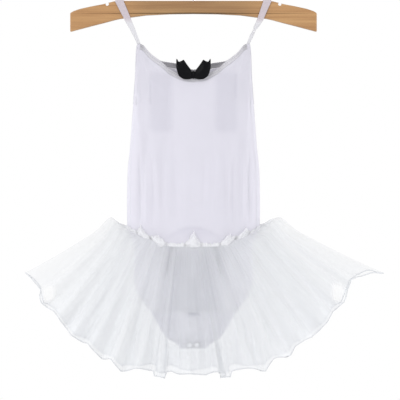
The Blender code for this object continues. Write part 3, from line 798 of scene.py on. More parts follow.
def half_turn(steps):
    """Angles from one side edge of a panel to the other."""
    return np.linspace(-pi / 2, pi / 2, steps + 1)


def off_seam(share, soft):
    """0 at the two side seams, rising to 1 over a soft share of the half width."""
    return np.clip((1 - np.abs(share)) / soft, 0, 1)


def off_crotch(z):
    """0 on the flat crotch tabs, rising to 1 above them."""
    return np.clip((z - TAB_TOP) / TAB_SOFT, 0, 1)


def jersey_piece(piece, side, base, height, shade):
    """Jersey over a panel of the body, with its folds and its painted shade."""
    points = base + outward(base, side) * height[..., None]
    item = surface(piece + "_jersey", points, cloth_uv(base), flip=side == FRONT, doubled=shade)
    shell(item, JERSEY_WALL)
    return wear(item, JERSEY, "white_jersey", piece)


# %% [markdown]
# The bodice is soft jersey, so its folds are low and rounded. They run down the two
# sides, where the cloth is eased into the gathered waist, and small ones spread from
# the strap corners. A shelf lining inside the chest shows through as two bands of
# painted shade, and a painted shadow lies over the middle puff.

# %% Bodice
BODICE_COLUMNS, BODICE_ROWS = 150, 170
FRONT_CREASES = (
    # from x, y to x, y in the picture; half width, height and bow in millimetres
    (139.0, 146, 140.0, 226, 2.6, -1.3, 0.0), (147.0, 152, 146.5, 224, 2.6, 0.9, 0.5),
    (151.5, 150, 152.5, 228, 2.8, -1.1, -0.5), (158.0, 160, 160.0, 228, 3.2, 0.7, 0.0),
    (164.5, 150, 166.0, 226, 5.0, 0.7, 1.0), (172.5, 120, 176.0, 226, 5.0, -0.7, 0.0),
    (183.0, 150, 184.0, 228, 4.0, 0.4, 0.0), (193.0, 92, 193.5, 222, 13.0, 0.6, 0.0),
    (203.0, 160, 204.0, 230, 4.0, -0.4, 0.0), (213.5, 124, 211.0, 226, 5.0, -0.7, 0.0),
    (221.5, 150, 222.5, 230, 4.5, 0.7, -0.8), (228.0, 162, 227.0, 228, 3.0, 0.6, 0.0),
    (233.5, 148, 232.5, 228, 3.0, -1.1, 0.5), (242.0, 150, 242.5, 224, 3.0, 1.0, 0.0),
    (249.0, 145, 249.0, 224, 2.6, -1.3, 0.0), (250.3, 88, 250.0, 117, 1.1, -0.7, 0.0),
    (137.0, 62, 139.0, 140, 3.0, 0.7, 0.0), (248.5, 62, 247.0, 140, 3.0, 0.6, 0.0),
    (150.5, 76, 151.0, 108, 1.3, -0.6, 0.0), (236.0, 72, 235.0, 104, 1.3, -0.6, 0.0),
    (171.5, 84, 171.0, 130, 2.2, 0.5, 0.0), (216.0, 84, 216.5, 130, 2.2, 0.5, 0.0),
    (143.5, 54, 153.0, 84, 2.4, 0.7, 1.5), (243.5, 54, 235.0, 82, 2.4, 0.7, -1.5),
    (146.0, 58, 166.0, 78, 2.2, -0.5, 0.8), (241.0, 58, 222.0, 78, 2.2, -0.5, -0.8),
    (164.0, 240, 223.0, 240, 2.6, -0.5, -17.0),
    (193.2, 80, 193.2, 85, 0.8, -0.5, 0.0), (136.0, 129, 150.0, 134, 2.0, -0.5, 0.5),
    (252.0, 131, 238.0, 137, 2.0, -0.5, -0.5), (178.0, 196, 206.0, 204, 5.0, -0.3, 2.0),
)
CHEST_PAINTED_SHADE = (
    # painted shade over the lining's bands and their outer rims: shade; left, right, top, foot; soft width
    (0.068, 146.5, 176.5, 68, 136, 8.0), (0.068, 211.0, 241.0, 68, 136, 8.0),
    (0.035, 148.8, 152.6, 76, 106, 1.4), (0.035, 233.6, 238.0, 73, 99, 1.4),
)
ARCH_SHADE = (
    # the soft shadow over the middle puff, as crease rows with the shade in thousandths
    (164.0, 241, 223.0, 241, 4.0, 75, -17.0), (176.0, 237, 211.0, 237, 6.0, 40, -5.0),
)
LOW_GAIN, LOW_TOP, LOW_REACH = 0.5, -0.255, 0.04
BACK_CREASES = (
    (141.0, 140, 142.0, 206, 2.8, -1.2, 0.0), (148.5, 134, 148.0, 208, 3.0, 1.0, 0.6),
    (156.0, 146, 157.5, 206, 3.2, -0.9, 0.0), (169.0, 128, 171.0, 208, 5.0, 0.8, 1.0),
    (182.0, 140, 183.0, 208, 4.5, -0.6, 0.0), (196.0, 90, 196.5, 200, 12.0, 0.6, 0.0),
    (209.0, 138, 207.0, 208, 4.5, -0.7, -0.8), (219.0, 130, 218.0, 206, 4.0, 0.9, 0.0),
    (230.0, 142, 228.5, 206, 3.0, -1.0, 0.4), (239.5, 134, 239.0, 206, 3.0, 0.9, 0.0),
    (247.0, 138, 247.0, 204, 2.6, -1.2, 0.0), (144.0, 52, 160.0, 82, 2.4, 0.6, 1.5),
    (243.0, 52, 229.0, 84, 2.4, 0.6, -1.5), (140.0, 96, 156.0, 106, 3.0, -0.5, 1.0),
    (247.0, 92, 232.0, 104, 3.0, -0.5, -1.0), (176.0, 158, 212.0, 166, 6.0, -0.35, 2.0),
)


def bodice_top(angles, side):
    """Top edge of the bodice: under the trim, and up to the corner at each strap."""
    share = np.sin(angles)
    inside = np.abs(share) < CORNER_SHARE
    return np.where(inside, edge_height(NECKLINE, share, side) - TRIM_HEIGHT - TRIM_GAP, CORNER_Z)


def make_bodice(side):
    """Front or back of the bodice, from the neckline to the waist seam.

    Its folds deepen towards the waist. The front has painted shade in two bands where
    the shelf lining lies behind the chest, and a painted shadow over the middle puff.
    """
    angles = half_turn(BODICE_COLUMNS)
    foot = edge_height(WAIST, np.sin(angles), side) + SEAM_EDGE
    base = panel(bodice_top(angles, side), foot, BODICE_ROWS, side, angles)
    x, z = base[..., 0], base[..., 2]
    creases = FRONT_CREASES if side == FRONT else BACK_CREASES
    height = crease_relief(x, z, creases) * off_seam(np.sin(angles), SEAM_SOFT)
    height = height * (1 + LOW_GAIN * np.clip((LOW_TOP - z) / LOW_REACH, 0, 1))
    shade = np.zeros(x.shape)
    if side == FRONT:
        # painted shade: the chest bands, and the shadow over the middle puff
        shade = patches(x, z, CHEST_PAINTED_SHADE) + crease_relief(x, z, ARCH_SHADE)
    return jersey_piece("bodice_" + WORD[side], side, base, height, shade)


bodice = {side: make_bodice(side) for side in (FRONT, BACK)}
for side, item in bodice.items():
    print(item.name, "area", round(area_of(item), 4))

# %% [markdown]
# The brief carries on below the waist seam. Its front stops at the gusset seam and
# its back goes down to the crotch. The gusset and the front tab fold under.

# %% Brief and gusset
BRIEF_COLUMNS, BRIEF_ROWS, GUSSET_ROWS = 130, 90, 50
# painted shade over the whole gusset, under the skirt
GUSSET_PAINTED_SHADE = 0.24
BRIEF_CREASES = (
    (171.5, 246, 166.4, 276, 2.0, -1.0, -0.5), (214.5, 245, 221.7, 274, 2.0, -1.0, 0.5),
    (158.0, 250, 160.0, 290, 3.0, 0.7, 1.0), (193.5, 246, 194.0, 278, 5.0, 0.7, 0.0),
    (229.0, 250, 226.0, 292, 3.0, 0.7, -1.0), (182.0, 252, 184.0, 300, 4.0, -0.5, 0.0),
    (205.0, 252, 203.0, 300, 4.0, -0.5, 0.0), (147.0, 262, 156.0, 296, 3.5, -0.7, 1.5),
    (240.0, 262, 232.0, 296, 3.5, -0.7, -1.5), (160.0, 292, 178.0, 309, 2.6, 0.6, 1.0),
    (227.0, 292, 209.0, 309, 2.6, 0.6, -1.0),
)
SEAT_CREASES = (
    (150.0, 232, 153.0, 276, 3.0, -0.9, 0.6), (163.0, 228, 166.0, 280, 4.0, 0.8, 0.8),
    (178.0, 230, 180.0, 290, 4.5, -0.7, 0.0), (193.5, 236, 193.5, 318, 3.0, -0.8, 0.0),
    (209.0, 230, 207.0, 292, 4.5, -0.6, 0.0), (224.0, 228, 221.0, 282, 4.0, 0.8, -0.8),
    (238.0, 232, 234.0, 276, 3.0, -0.9, -0.6), (158.0, 298, 184.0, 328, 3.0, 0.8, 2.0),
    (229.0, 298, 203.0, 328, 3.0, 0.8, -2.0),
)
GUSSET_CREASES = (
    (172.0, 316, 190.0, 330, 2.2, -0.5, 1.0), (215.0, 316, 197.0, 330, 2.2, -0.5, -1.0),
    (193.5, 313, 193.5, 336, 6.0, 0.5, 0.0), (183.0, 326, 187.0, 342, 1.6, 0.3, 0.0),
    (185.0, 313.2, 202.0, 313.2, 3.0, -1.0, 0.0),
)
BRIEF_PAINTED_SHADE = (
    # painted shade on the front under the skirt: shade; left, right, top, foot; soft width
    (0.20, 156.0, 231.0, 238, 336, 10.0), (0.24, 166.0, 221.0, 246, 336, 15.0),
)
PUCKER_PAINTED_SHADE = (
    # painted shade along the gusset seam and in the pucker in its middle, in thousandths
    (184.0, 311.2, 203.0, 311.2, 2.6, 520, 1.2), (184.5, 315.0, 202.5, 315.0, 2.6, 520, -1.2),
    (166.0, 309.5, 221.0, 309.5, 2.0, 100, -1.5),
)


def make_brief(side):
    """Front of the brief down to the gusset seam, or its whole back."""
    angles = half_turn(BRIEF_COLUMNS)
    top = edge_height(WAIST, np.sin(angles), side) - SEAM_EDGE
    foot = np.full_like(top, GUSSET_Z + SEAM_EDGE if side == FRONT else CROTCH_Z)
    base = panel(top, foot, BRIEF_ROWS, side, angles)
    x, z = base[..., 0], base[..., 2]
    height = crease_relief(x, z, BRIEF_CREASES if side == FRONT else SEAT_CREASES)
    height = height * off_seam(np.sin(angles), SEAM_SOFT) * off_crotch(z)
    shade = np.zeros(x.shape)
    if side == FRONT:
        # painted shade on the front under the skirt, along the gusset seam and in its pucker
        shade = patches(x, z, BRIEF_PAINTED_SHADE) + crease_relief(x, z, PUCKER_PAINTED_SHADE)
    return jersey_piece("brief_" + WORD[side], side, base, height, shade)


def make_gusset():
    """Gusset below its seam, narrowing to the front tab of the crotch."""
    angles = half_turn(BRIEF_COLUMNS)
    base = panel(np.full_like(angles, GUSSET_Z - SEAM_EDGE), np.full_like(angles, CROTCH_Z),
                 GUSSET_ROWS, FRONT, angles)
    x, z = base[..., 0], base[..., 2]
    height = crease_relief(x, z, GUSSET_CREASES) * off_crotch(z)
    # painted shade all over the gusset, deeper along its seam and pucker
    return jersey_piece("gusset", FRONT, base, height,
                        GUSSET_PAINTED_SHADE + crease_relief(x, z, PUCKER_PAINTED_SHADE))


brief = {side: make_brief(side) for side in (FRONT, BACK)}
gusset = make_gusset()
for item in (*brief.values(), gusset):
    print(item.name, "area", round(area_of(item), 4))

# %% [markdown]
# ## The skirt
# Each half is one layer of sheer chiffon cut with a flare. At the waist it is drawn up
# small, so its threads crowd together and it looks more solid; towards the hem it opens
# into flutes and shows the backdrop. The surface runs from the waist seam to a hem
# line read off the photograph, dip by dip. Finer crimps ride on the flutes, and the
# cloth's density is kept as an attribute for the material's transparency.

# %% Skirt tables
HEM = np.array([
    # x and z of each dip between two flutes, and how far the flute on its right stands out
    (-0.2383, -0.4464, 0.006), (-0.2203, -0.4723, 0.010), (-0.2005, -0.5007, 0.014),
    (-0.1750, -0.5304, 0.014), (-0.1523, -0.5474, 0.018), (-0.1240, -0.5680, 0.018),
    (-0.0942, -0.5843, 0.022), (-0.0581, -0.5850, 0.013), (-0.0354, -0.5857, 0.020),
    (0.0269, -0.5871, 0.013), (0.0560, -0.5850, 0.024), (0.1006, -0.5857, 0.018),
    (0.1339, -0.5630, 0.018), (0.1679, -0.5361, 0.016), (0.1963, -0.5035, 0.014),
    (0.2175, -0.4709, 0.008), (0.2303, -0.4532, 0.008), (0.2698, -0.4468, 0.000),
])
HEM_OUTLINE = np.array([
    # the hem as it shows from the front, in the picture
    (25.3, 272.5), (30, 277), (36, 283.5), (41, 289.5), (41.5, 297), (43, 304), (49, 308.5),
    (55, 312), (60, 318), (66, 327), (74, 337), (82, 341.5), (90, 345), (96, 352), (103, 359),
    (112, 360), (117, 366), (122, 371.5), (131, 370.5), (142, 370), (153.4, 370.4), (154.6, 376),
    (160, 377.4), (165.6, 378.2), (166.9, 371.6), (171, 371), (176, 373.4), (180, 375), (193, 375.3),
    (206, 375), (210, 373), (213, 372), (218, 372.4), (219.3, 378.2), (225, 377.8), (230, 376.8),
    (231.6, 371), (235, 370), (250, 370.3), (265, 371), (268, 366), (273, 359.5), (284, 358.5),
    (290, 355), (294, 347), (302, 342.5), (310, 338), (318, 331), (325, 324), (332, 312),
    (342, 304), (346.5, 292), (350, 281), (356, 277.5), (372, 275), (383.9, 272.9),
])
BACK_RAISE, BACK_STAND = 0.0012, 0.016
TAB_WEIGHT, CROWD_SPAN, CRIMP_POWER = 0.12, 21, 2.4
CLEAR_COVER, CREASE_COVER, TIP_COVER = 0.485, 0.12, 0.22
DEEP_CREASE, TIP_SHARE, TIP_POWER = 0.0018, 0.20, 12
COVER_PATCHES = (
    # thinner at the two tips, denser low in the middle: change; rectangle; soft width
    (-0.75, 42.5, 57.0, 285, 304, 4.0), (-0.75, 330.0, 344.5, 283, 304, 4.0),
    (0.12, 158, 236, 344, 374, 8.0),
)
HEM_ROLL, HEM_COVER, CREASE_SCALE = 0.0008, 0.72, 0.85
SKIRT_TOP, SKIRT_EDGE, LAYER_STEP, WALL = 0.0016, 0.00075, 0.0014, 0.0010
HEM_DEPTH, DEPTH_RISE = 0.060, 0.0030
GATHER_SHARE, FREE_SHARE, SPREAD_POWER, OPENING = 0.10, 0.5, 0.8, 0.25
FLUTE_POWER, LEAST_CROWDED, MOST_CROWDED = 1.4, 0.6, 1.35
SWAY, SWAY_WAVES, SWAY_DRIFT, WAIST_CRIMP = 0.6, 3.0, 1.3, 0.7
EDGE_FADE, TOP_FADE, TOP_LEAST = 0.03, 0.04, 0.2
SKIRT_PAINTED_LIGHT = {
    # painted shade at the pinches under the puffs and a painted highlight streak between, in thousandths
    FRONT: ((171.5, 243, 166.4, 278, 3.0, 150, -0.5), (214.5, 242, 221.7, 276, 3.0, 150, 0.5),
            (172.0, 241, 172.0, 252, 4.5, 120, 0.0), (214.0, 240, 214.0, 251, 4.5, 120, 0.0),
            (193.5, 245, 193.8, 280, 6.0, -120, 0.0)),
    BACK: ((160.0, 222, 156.0, 250, 2.4, 120, -0.5), (228.0, 222, 232.0, 250, 2.4, 120, 0.5)),
}
SIDE_PUFF = np.array([
    # share of the way down, how far the cloth puffs up at the side
    (0.00, 0.000), (0.06, 0.009), (0.17, 0.026), (0.30, 0.016), (0.50, 0.010), (0.75, 0.004),
    (1.00, 0.000),
])
LIFT_POWER = {FRONT: 6, BACK: 3}
FLUTE_COLUMNS, SKIRT_ROWS = 46, 76
WAIST_CUT, HEM_CUT, SKIRT_CUT_LENGTH = 0.52, 0.86, 0.21
CRIMPS = (
    # waves across the hem, turn at the start, height at the waist and at the hem
    (31.0, 0.4, 0.0002, 0.0010), (47.0, 2.1, 0.0002, 0.0006), (83.0, 4.0, 0.0002, 0.0001),
    (127.0, 1.2, 0.0001, 0.0000),
)
SKIRT_CREASES = {
    FRONT: (
        (136, 299, 106, 347, 3.2, -1.8, -1.0), (133, 297, 124, 350, 2.4, 1.3, 0.0),
        (129, 330, 120, 358, 2.0, -1.6, 0.0), (142, 305, 141, 362, 2.6, 1.2, 0.0),
        (137, 322, 135, 352, 1.6, -1.3, 0.0), (152.5, 318, 152.5, 371, 1.8, -1.6, 0.0),
        (160, 325, 158, 372, 2.4, 1.3, 0.0), (167, 320, 169, 371, 2.6, -1.8, 0.6),
        (180, 325, 179.5, 373, 2.0, -1.5, 0.0), (187, 330, 187, 373, 2.2, 1.1, 0.0),
        (193, 336, 193, 373, 1.8, -1.2, 0.0), (199, 330, 200, 373, 2.4, 1.2, 0.0),
        (205, 322, 206, 373, 2.0, -1.5, 0.0), (212, 330, 213, 374, 2.4, 1.1, 0.0),
        (221, 320, 222, 374, 2.2, -1.5, 0.0), (232, 318, 234, 370, 2.2, -1.6, 0.0),
        (241, 305, 246, 366, 3.0, 1.3, 0.0), (249, 298, 281, 352, 3.2, -1.8, 1.0),
        (252, 334, 256, 364, 1.8, -1.4, 0.0), (260, 328, 267, 364, 2.0, -1.5, 0.0),
        (255, 300, 270, 352, 2.4, 1.2, 0.5), (292, 312, 306, 338, 2.6, -1.5, 0.0),
        (282, 300, 296, 342, 2.8, 1.2, 0.0), (304, 280, 326, 318, 2.8, -1.3, 0.0),
        (312, 268, 345, 292, 3.0, 1.1, 0.5), (320, 262, 358, 277, 2.4, -1.2, 0.0),
        (108, 300, 84, 338, 2.8, 1.2, 0.0), (98, 292, 70, 325, 2.6, -1.4, 0.0),
        (86, 282, 54, 304, 2.8, 1.1, 0.0), (74, 270, 40, 286, 2.4, -1.2, 0.0),
        (121, 290, 94, 344, 2.4, -1.0, 0.0), (171.5, 246, 166.4, 278, 1.8, -1.1, -0.5),
        (214.5, 245, 221.7, 276, 1.8, -1.1, 0.5), (193.5, 247, 194, 282, 4.0, 0.7, 0.0),
        (150, 256, 140, 296, 2.2, -0.8, 0.0), (238, 254, 250, 296, 2.2, -0.8, 0.0),
        (120, 252, 82, 284, 3.0, 0.9, 1.0), (272, 250, 312, 276, 3.0, 0.9, -1.0),
    ),
    BACK: (
        (62, 296, 44, 286, 2.2, -1.2, 0.0), (92, 272, 58, 306, 3.0, -1.3, 0.0),
        (108, 282, 80, 332, 2.8, 1.2, 0.0), (118, 290, 98, 346, 2.6, -1.5, 0.0),
        (128, 300, 116, 358, 2.4, 1.2, 0.0), (139, 306, 130, 362, 2.6, -1.4, 0.0),
        (150, 300, 146, 366, 2.8, 1.3, 0.0), (162, 310, 160, 368, 2.2, -1.4, 0.0),
        (173, 306, 173, 370, 2.8, 1.2, 0.0), (186, 318, 186, 370, 2.2, -1.5, 0.0),
        (198, 310, 199, 370, 2.8, 1.2, 0.0), (211, 316, 212, 370, 2.2, -1.4, 0.0),
        (223, 306, 226, 368, 2.8, 1.2, 0.0), (235, 306, 240, 364, 2.4, -1.5, 0.0),
        (247, 298, 258, 360, 2.8, 1.2, 0.0), (258, 292, 276, 352, 2.6, -1.4, 0.0),
        (270, 286, 298, 336, 2.8, 1.2, 0.0), (284, 276, 318, 318, 2.8, -1.3, 0.0),
        (300, 266, 340, 294, 3.0, 1.0, 0.0), (316, 258, 356, 276, 2.4, -1.1, 0.0),
    ),
}


# %% Skirt surface
def hem_line(side):
    """Hem of a half: share of its length, x, z and stand of the flutes, by column.

    The front's dips are the table's; the back's lie midway between them. A flute
    stands out as the square of the sine from dip to dip. The outline is run through by
    its length, in which the upright sides of the hem's small tabs count for little.
    """
    length = run_length(HEM[:, :2])
    share = length / length[-1]
    if side == FRONT:
        dips, stands = share, HEM[:, 2]
    else:
        dips = np.concatenate([[0], ((share[1:] + share[:-1]) / 2)[1:-1], [1]])
        stands = np.full(len(dips), BACK_STAND)
    flute = np.arange((len(dips) - 1) * FLUTE_COLUMNS + 1) / FLUTE_COLUMNS
    row = np.minimum(flute.astype(int), len(dips) - 2)
    crest = np.sin(pi * flute) ** 2
    at = np.interp(flute, np.arange(len(dips)), dips)
    across, up = spot(HEM_OUTLINE[:, 0], HEM_OUTLINE[:, 1])
    middle = np.abs(across[1:] + across[:-1]) / 2
    weight = np.clip((middle - 0.10) / 0.05, TAB_WEIGHT, 1)
    steps = np.concatenate([[0], np.cumsum(np.hypot(np.diff(across), weight * np.diff(up)))])
    x = np.interp(at, steps / steps[-1], across)
    height = np.interp(at, steps / steps[-1], up) + DEPTH_RISE * np.sin(pi * at)
    if side == BACK:
        height = height + BACK_RAISE * np.sin(pi * at)
    return at, x, height, stands[row] * crest


def skirt_points(side):
    """Grid of a skirt half, its flat coordinates and how crowded its threads are.

    Across: straight from the waist to the hem. Out: the hem's distance times a power
    of the share of the way down, so it leaves the body at once and then hangs. Up: the
    same straight way plus a puff at the sides. Flutes and crimps stand out along the
    body's normal at the waist and along the sheet's own further down.
    """
    at, hem_x, hem_z, stand = hem_line(side)
    angles = (at - 0.5) * pi
    top = edge_height(WAIST, np.sin(angles), side) - SKIRT_TOP
    waist = panel(top, top - WALL, 1, side, angles)
    body_normal = outward(waist, side)[0]
    start = waist[0] + body_normal * LAYER_STEP
    start[:, 1] = side * np.maximum(np.abs(start[:, 1]), SKIRT_EDGE)
    down = np.linspace(0, 1, SKIRT_ROWS + 1)[:, None]
    lift = (smooth_curve(down, SIDE_PUFF[:, 0], SIDE_PUFF[:, 1])
            * np.abs(np.sin(angles)) ** LIFT_POWER[side])
    hem_y = side * (SKIRT_EDGE + HEM_DEPTH * np.cos(angles))
    base = np.stack([start[:, 0] + (hem_x - start[:, 0]) * down,
                     start[:, 1] + (hem_y - start[:, 1]) * down ** SPREAD_POWER,
                     start[:, 2] + (hem_z - start[:, 2]) * down + lift], axis=-1)
    free = np.clip(down / FREE_SHARE, 0, 1)[..., None]
    direction = unit(body_normal * (1 - free) + outward(base, side) * free)
    open_out = GATHER_SHARE + (1 - GATHER_SHARE) * down ** FLUTE_POWER
    flutes = stand * open_out * (1 - OPENING * 4 * down * (1 - down))
    crimp = np.zeros(base.shape[:2])
    for waves, turn, at_waist, at_hem in CRIMPS:
        sway = SWAY * np.sin(2 * pi * (SWAY_WAVES * at + SWAY_DRIFT * down) + turn)
        crimp += ((WAIST_CRIMP * at_waist * (1 - down) + at_hem * down ** CRIMP_POWER)
                  * np.sin(2 * pi * waves * at + turn + side + sway * (1 + down)))
    fade = np.clip(np.minimum(at, 1 - at) / EDGE_FADE, 0, 1) * np.clip(down / TOP_FADE, TOP_LEAST, 1)
    folds = CREASE_SCALE * crease_relief(base[..., 0], base[..., 2], SKIRT_CREASES[side])
    points = base + direction * (flutes + (crimp + folds) * fade)[..., None]
    points[..., 1] = side * np.maximum(side * points[..., 1], SKIRT_EDGE)

    cut = (WAIST_CUT + (HEM_CUT - WAIST_CUT) * down) * np.gradient(at)
    shown = np.linalg.norm(np.gradient(base, axis=1), axis=-1)
    crowd = np.clip(cut / shown, LEAST_CROWDED, MOST_CROWDED)
    padded = np.pad(crowd, ((0, 0), (CROWD_SPAN // 2,) * 2), mode="edge")
    crowd = np.lib.stride_tricks.sliding_window_view(padded, CROWD_SPAN, axis=1).mean(axis=-1)
    density = 1 - (1 - CLEAR_COVER) ** crowd
    density = density * (1 + CREASE_COVER * np.clip(-folds / DEEP_CREASE, -0.4, 1))
    wing = np.clip(np.minimum(at, 1 - at) / TIP_SHARE, 0, 1) * np.ones_like(down)
    density = density * (TIP_COVER + (1 - TIP_COVER) * np.maximum(wing, (1 - down) ** TIP_POWER))
    density = density * (1 + patches(base[..., 0], base[..., 2], COVER_PATCHES))
    cut_across = at * HEM_CUT * np.ones_like(down)
    uv = np.stack([cut_across, -SKIRT_CUT_LENGTH * down * np.ones_like(at)], axis=-1)
    # painted shade at the pinches and a painted highlight between them
    shade = crease_relief(base[..., 0], base[..., 2], SKIRT_PAINTED_LIGHT[side])
    return points, uv, density, shade


def make_skirt(side):
    """Half of the skirt, and the narrow rolled hem along its foot."""
    points, uv, density, shade = skirt_points(side)
    item = surface("skirt_%s_chiffon" % WORD[side], points, uv, flip=side == FRONT,
                   cover=density, doubled=shade)
    wear(item, CHIFFON, "sheer_chiffon", "skirt_" + WORD[side])
    roll = tube("skirt_%s_hem" % WORD[side], points[-1], HEM_ROLL, sides=8)
    full = roll.data.attributes.new("cover", "FLOAT", "POINT")
    full.data.foreach_set("value", np.full(len(roll.data.vertices), HEM_COVER, np.float32))
    wear(roll, CHIFFON, "sheer_chiffon")
    return item, roll


skirt = {side: make_skirt(side) for side in (FRONT, BACK)}
for item, roll in skirt.values():
    print(item.name, "area", round(area_of(item), 4), "faces", len(item.data.polygons))

# %% [markdown]
# ## The gathered heading
# Where the chiffon meets the waist seam it is folded over and caught down, and every
# few centimetres it is pinched up into a small puff. Between the puffs it is a narrow
# frill. It is the same cloth lying two or three deep, so it is nearly solid; its colour
# is painted lighter than the skirt's for the light on the puffs.

# %% Heading
HEADING_FOOT, HEADING_HEIGHT, HEADING_EDGE_SWELL = -0.0022, 0.0052, 0.25
HEADING_COLUMNS, HEADING_ROWS = 640, 22
PUFFS = {
    # share of the half width, half width by share, rise, drop, stand
    FRONT: ((-0.79, 0.090, 0.0125, 0.0015, 0.0035), (-0.57, 0.120, 0.0075, 0.0050, 0.0045),
            (0.00, 0.150, 0.0165, 0.0008, 0.0055), (0.56, 0.120, 0.0085, 0.0042, 0.0045),
            (0.785, 0.090, 0.0085, 0.0010, 0.0035)),
    BACK: ((-0.72, 0.095, 0.0105, 0.0015, 0.0045), (-0.38, 0.100, 0.0080, 0.0040, 0.0050),
           (0.04, 0.110, 0.0120, 0.0010, 0.0055), (0.44, 0.100, 0.0080, 0.0035, 0.0050),
           (0.75, 0.095, 0.0095, 0.0015, 0.0045)),
}
TENT_POWER, TIP_CLEAR = 1.25, 0.38
# waves from side to side, turn in the middle, height
FRILL_WAVES = ((71.0, 0.3, 0.00030), (113.0, 1.9, 0.00022), (167.0, 0.8, 0.00012))
EDGE_WAVES = ((47.0, 0.0, 0.0007), (17.0, 1.3, 0.00063))
PINCH_PLACE, PINCH_WIDTH, PINCH_DEPTH, PINCH_PAINTED_SHADE = 0.95, 0.28, 0.0006, 0.40
TUCK, TUCK_TURNS, FRILL_FOOT, FRILL_GROWTH = 0.25, 4, 0.4, 1.2
FRILL_COVER, FOOT_COVER, PINCH_COVER, MOST_COVER = 0.80, 0.12, 0.10, 0.97
THREAD_RADIUS = 0.00018
PUFF_STAND, THIN_RISE, STITCH_LEVEL = 0.0065, 0.008, 0.7


def ripple(angles, rows):
    """Sum of sines from one side seam to the other, one for each row of waves."""
    return sum(high * np.sin(2 * waves * angles + turn) for waves, turn, high in rows)


def make_heading(side):
    """Frill over the waist seam with its pinched puffs.

    A puff's top edge is a tent, 1 less the distance over the half width to a power. Its
    swell outwards and the drop of its foot are raised cosines, and its tip is thinner
    cloth. On both sides of it the cloth is drawn in to a pinch, deeper and with painted
    shade. The path of the stitches that hold the frill comes back with it.
    """
    angles = half_turn(HEADING_COLUMNS)
    share = np.sin(angles)
    rise, drop, stand, pinch = np.zeros((4, len(share)))
    for middle, spread, lift, fall, out in PUFFS[side]:
        one = bump(share, middle, spread)
        rise += lift * np.clip(1 - np.abs(share - middle) / spread, 0, 1) ** TENT_POWER
        drop += fall * one
        stand += out * one
        for edge in (-1, 1):
            pinch += bump(share, middle + edge * spread * PINCH_PLACE, spread * PINCH_WIDTH)
    flat = off_seam(share, 0.03)
    seam = edge_height(WAIST, share, side) + HEADING_FOOT
    top = seam + HEADING_HEIGHT + rise + ripple(angles, EDGE_WAVES) * flat
    foot = seam - drop
    base = panel(top, foot, HEADING_ROWS, side, angles)
    up = np.linspace(1, 0, HEADING_ROWS + 1)[:, None]
    arch = HEADING_EDGE_SWELL + (1 - HEADING_EDGE_SWELL) * np.sin(pi * up)
    tuck = 1 + TUCK * np.cos(2 * pi * (up + TUCK_TURNS * share))
    frill = ripple(angles, FRILL_WAVES) * (FRILL_FOOT + FRILL_GROWTH * up) * flat
    out = (LAYER_STEP + stand * arch * tuck + frill * (1 - 0.6 * stand / PUFF_STAND)
           - PINCH_DEPTH * pinch * arch * flat)
    points = base + outward(base, side) * out[..., None]
    thin = TIP_CLEAR * np.clip(rise / THIN_RISE, 0, 1) * up ** 2
    density = np.clip(FRILL_COVER + FOOT_COVER * (1 - up) + PINCH_COVER * pinch - thin,
                      0, MOST_COVER)
    # painted shade in the pinches, deeper towards the foot
    item = surface("waist_%s_frill" % WORD[side], points, cloth_uv(base), flip=side == FRONT,
                   cover=density, doubled=PINCH_PAINTED_SHADE * pinch * (0.4 + 0.6 * (1 - up)))
    row = int(HEADING_ROWS * STITCH_LEVEL)
    path = points[row] + outward(points, side)[row] * THREAD_RADIUS
    return wear(item, HEADING_LIT_CHIFFON, "sheer_chiffon", "waist_gathers_" + WORD[side]), path


heading, frill_path = {}, {}
for side in (FRONT, BACK):
    heading[side], frill_path[side] = make_heading(side)
    print(heading[side].name, "area", round(area_of(heading[side]), 4))

# %% [markdown]
# ## Edges: neckline lace, armholes and legs
# The neckline is finished with a narrow stretch lace: a band with a row of small
# holes and a scalloped top. Armholes and leg openings have a thin rolled binding, a
# flattened cord that follows the cut edge.

# %% Neckline lace
TRIM_COLUMNS, TRIM_ROWS = 360, 10
SCALLOP, SCALLOP_HEIGHT = 0.0032, 0.0006
TRIM_WALL = 0.0007
EYELET_DROP, EYELET_EDGE = 0.0034, (0.00055, 0.0009)
LACE_SWELL, LACE_LEAN, RIM_SHARE = 0.0003, 0.0002, 0.86
# where the lace is darker, as distance from the middle and reach, and by how much; at the corners it is
# painted shadow
CORNER_DARK, BOW_DARK = (0.0735, 0.0065), (0.0300, 0.0160)
LACE_SHADE, CORNER_PAINTED_SHADOW, BOW_SHADE, SPECK_SHADE, RIM_SHADE = 0.08, 0.28, 0.10, 0.22, 0.10
BACK_SHADE, MIDDLE_SHADE, MIDDLE_EDGE, MIDDLE_SOFT = 0.34, 0.26, 0.046, 0.022


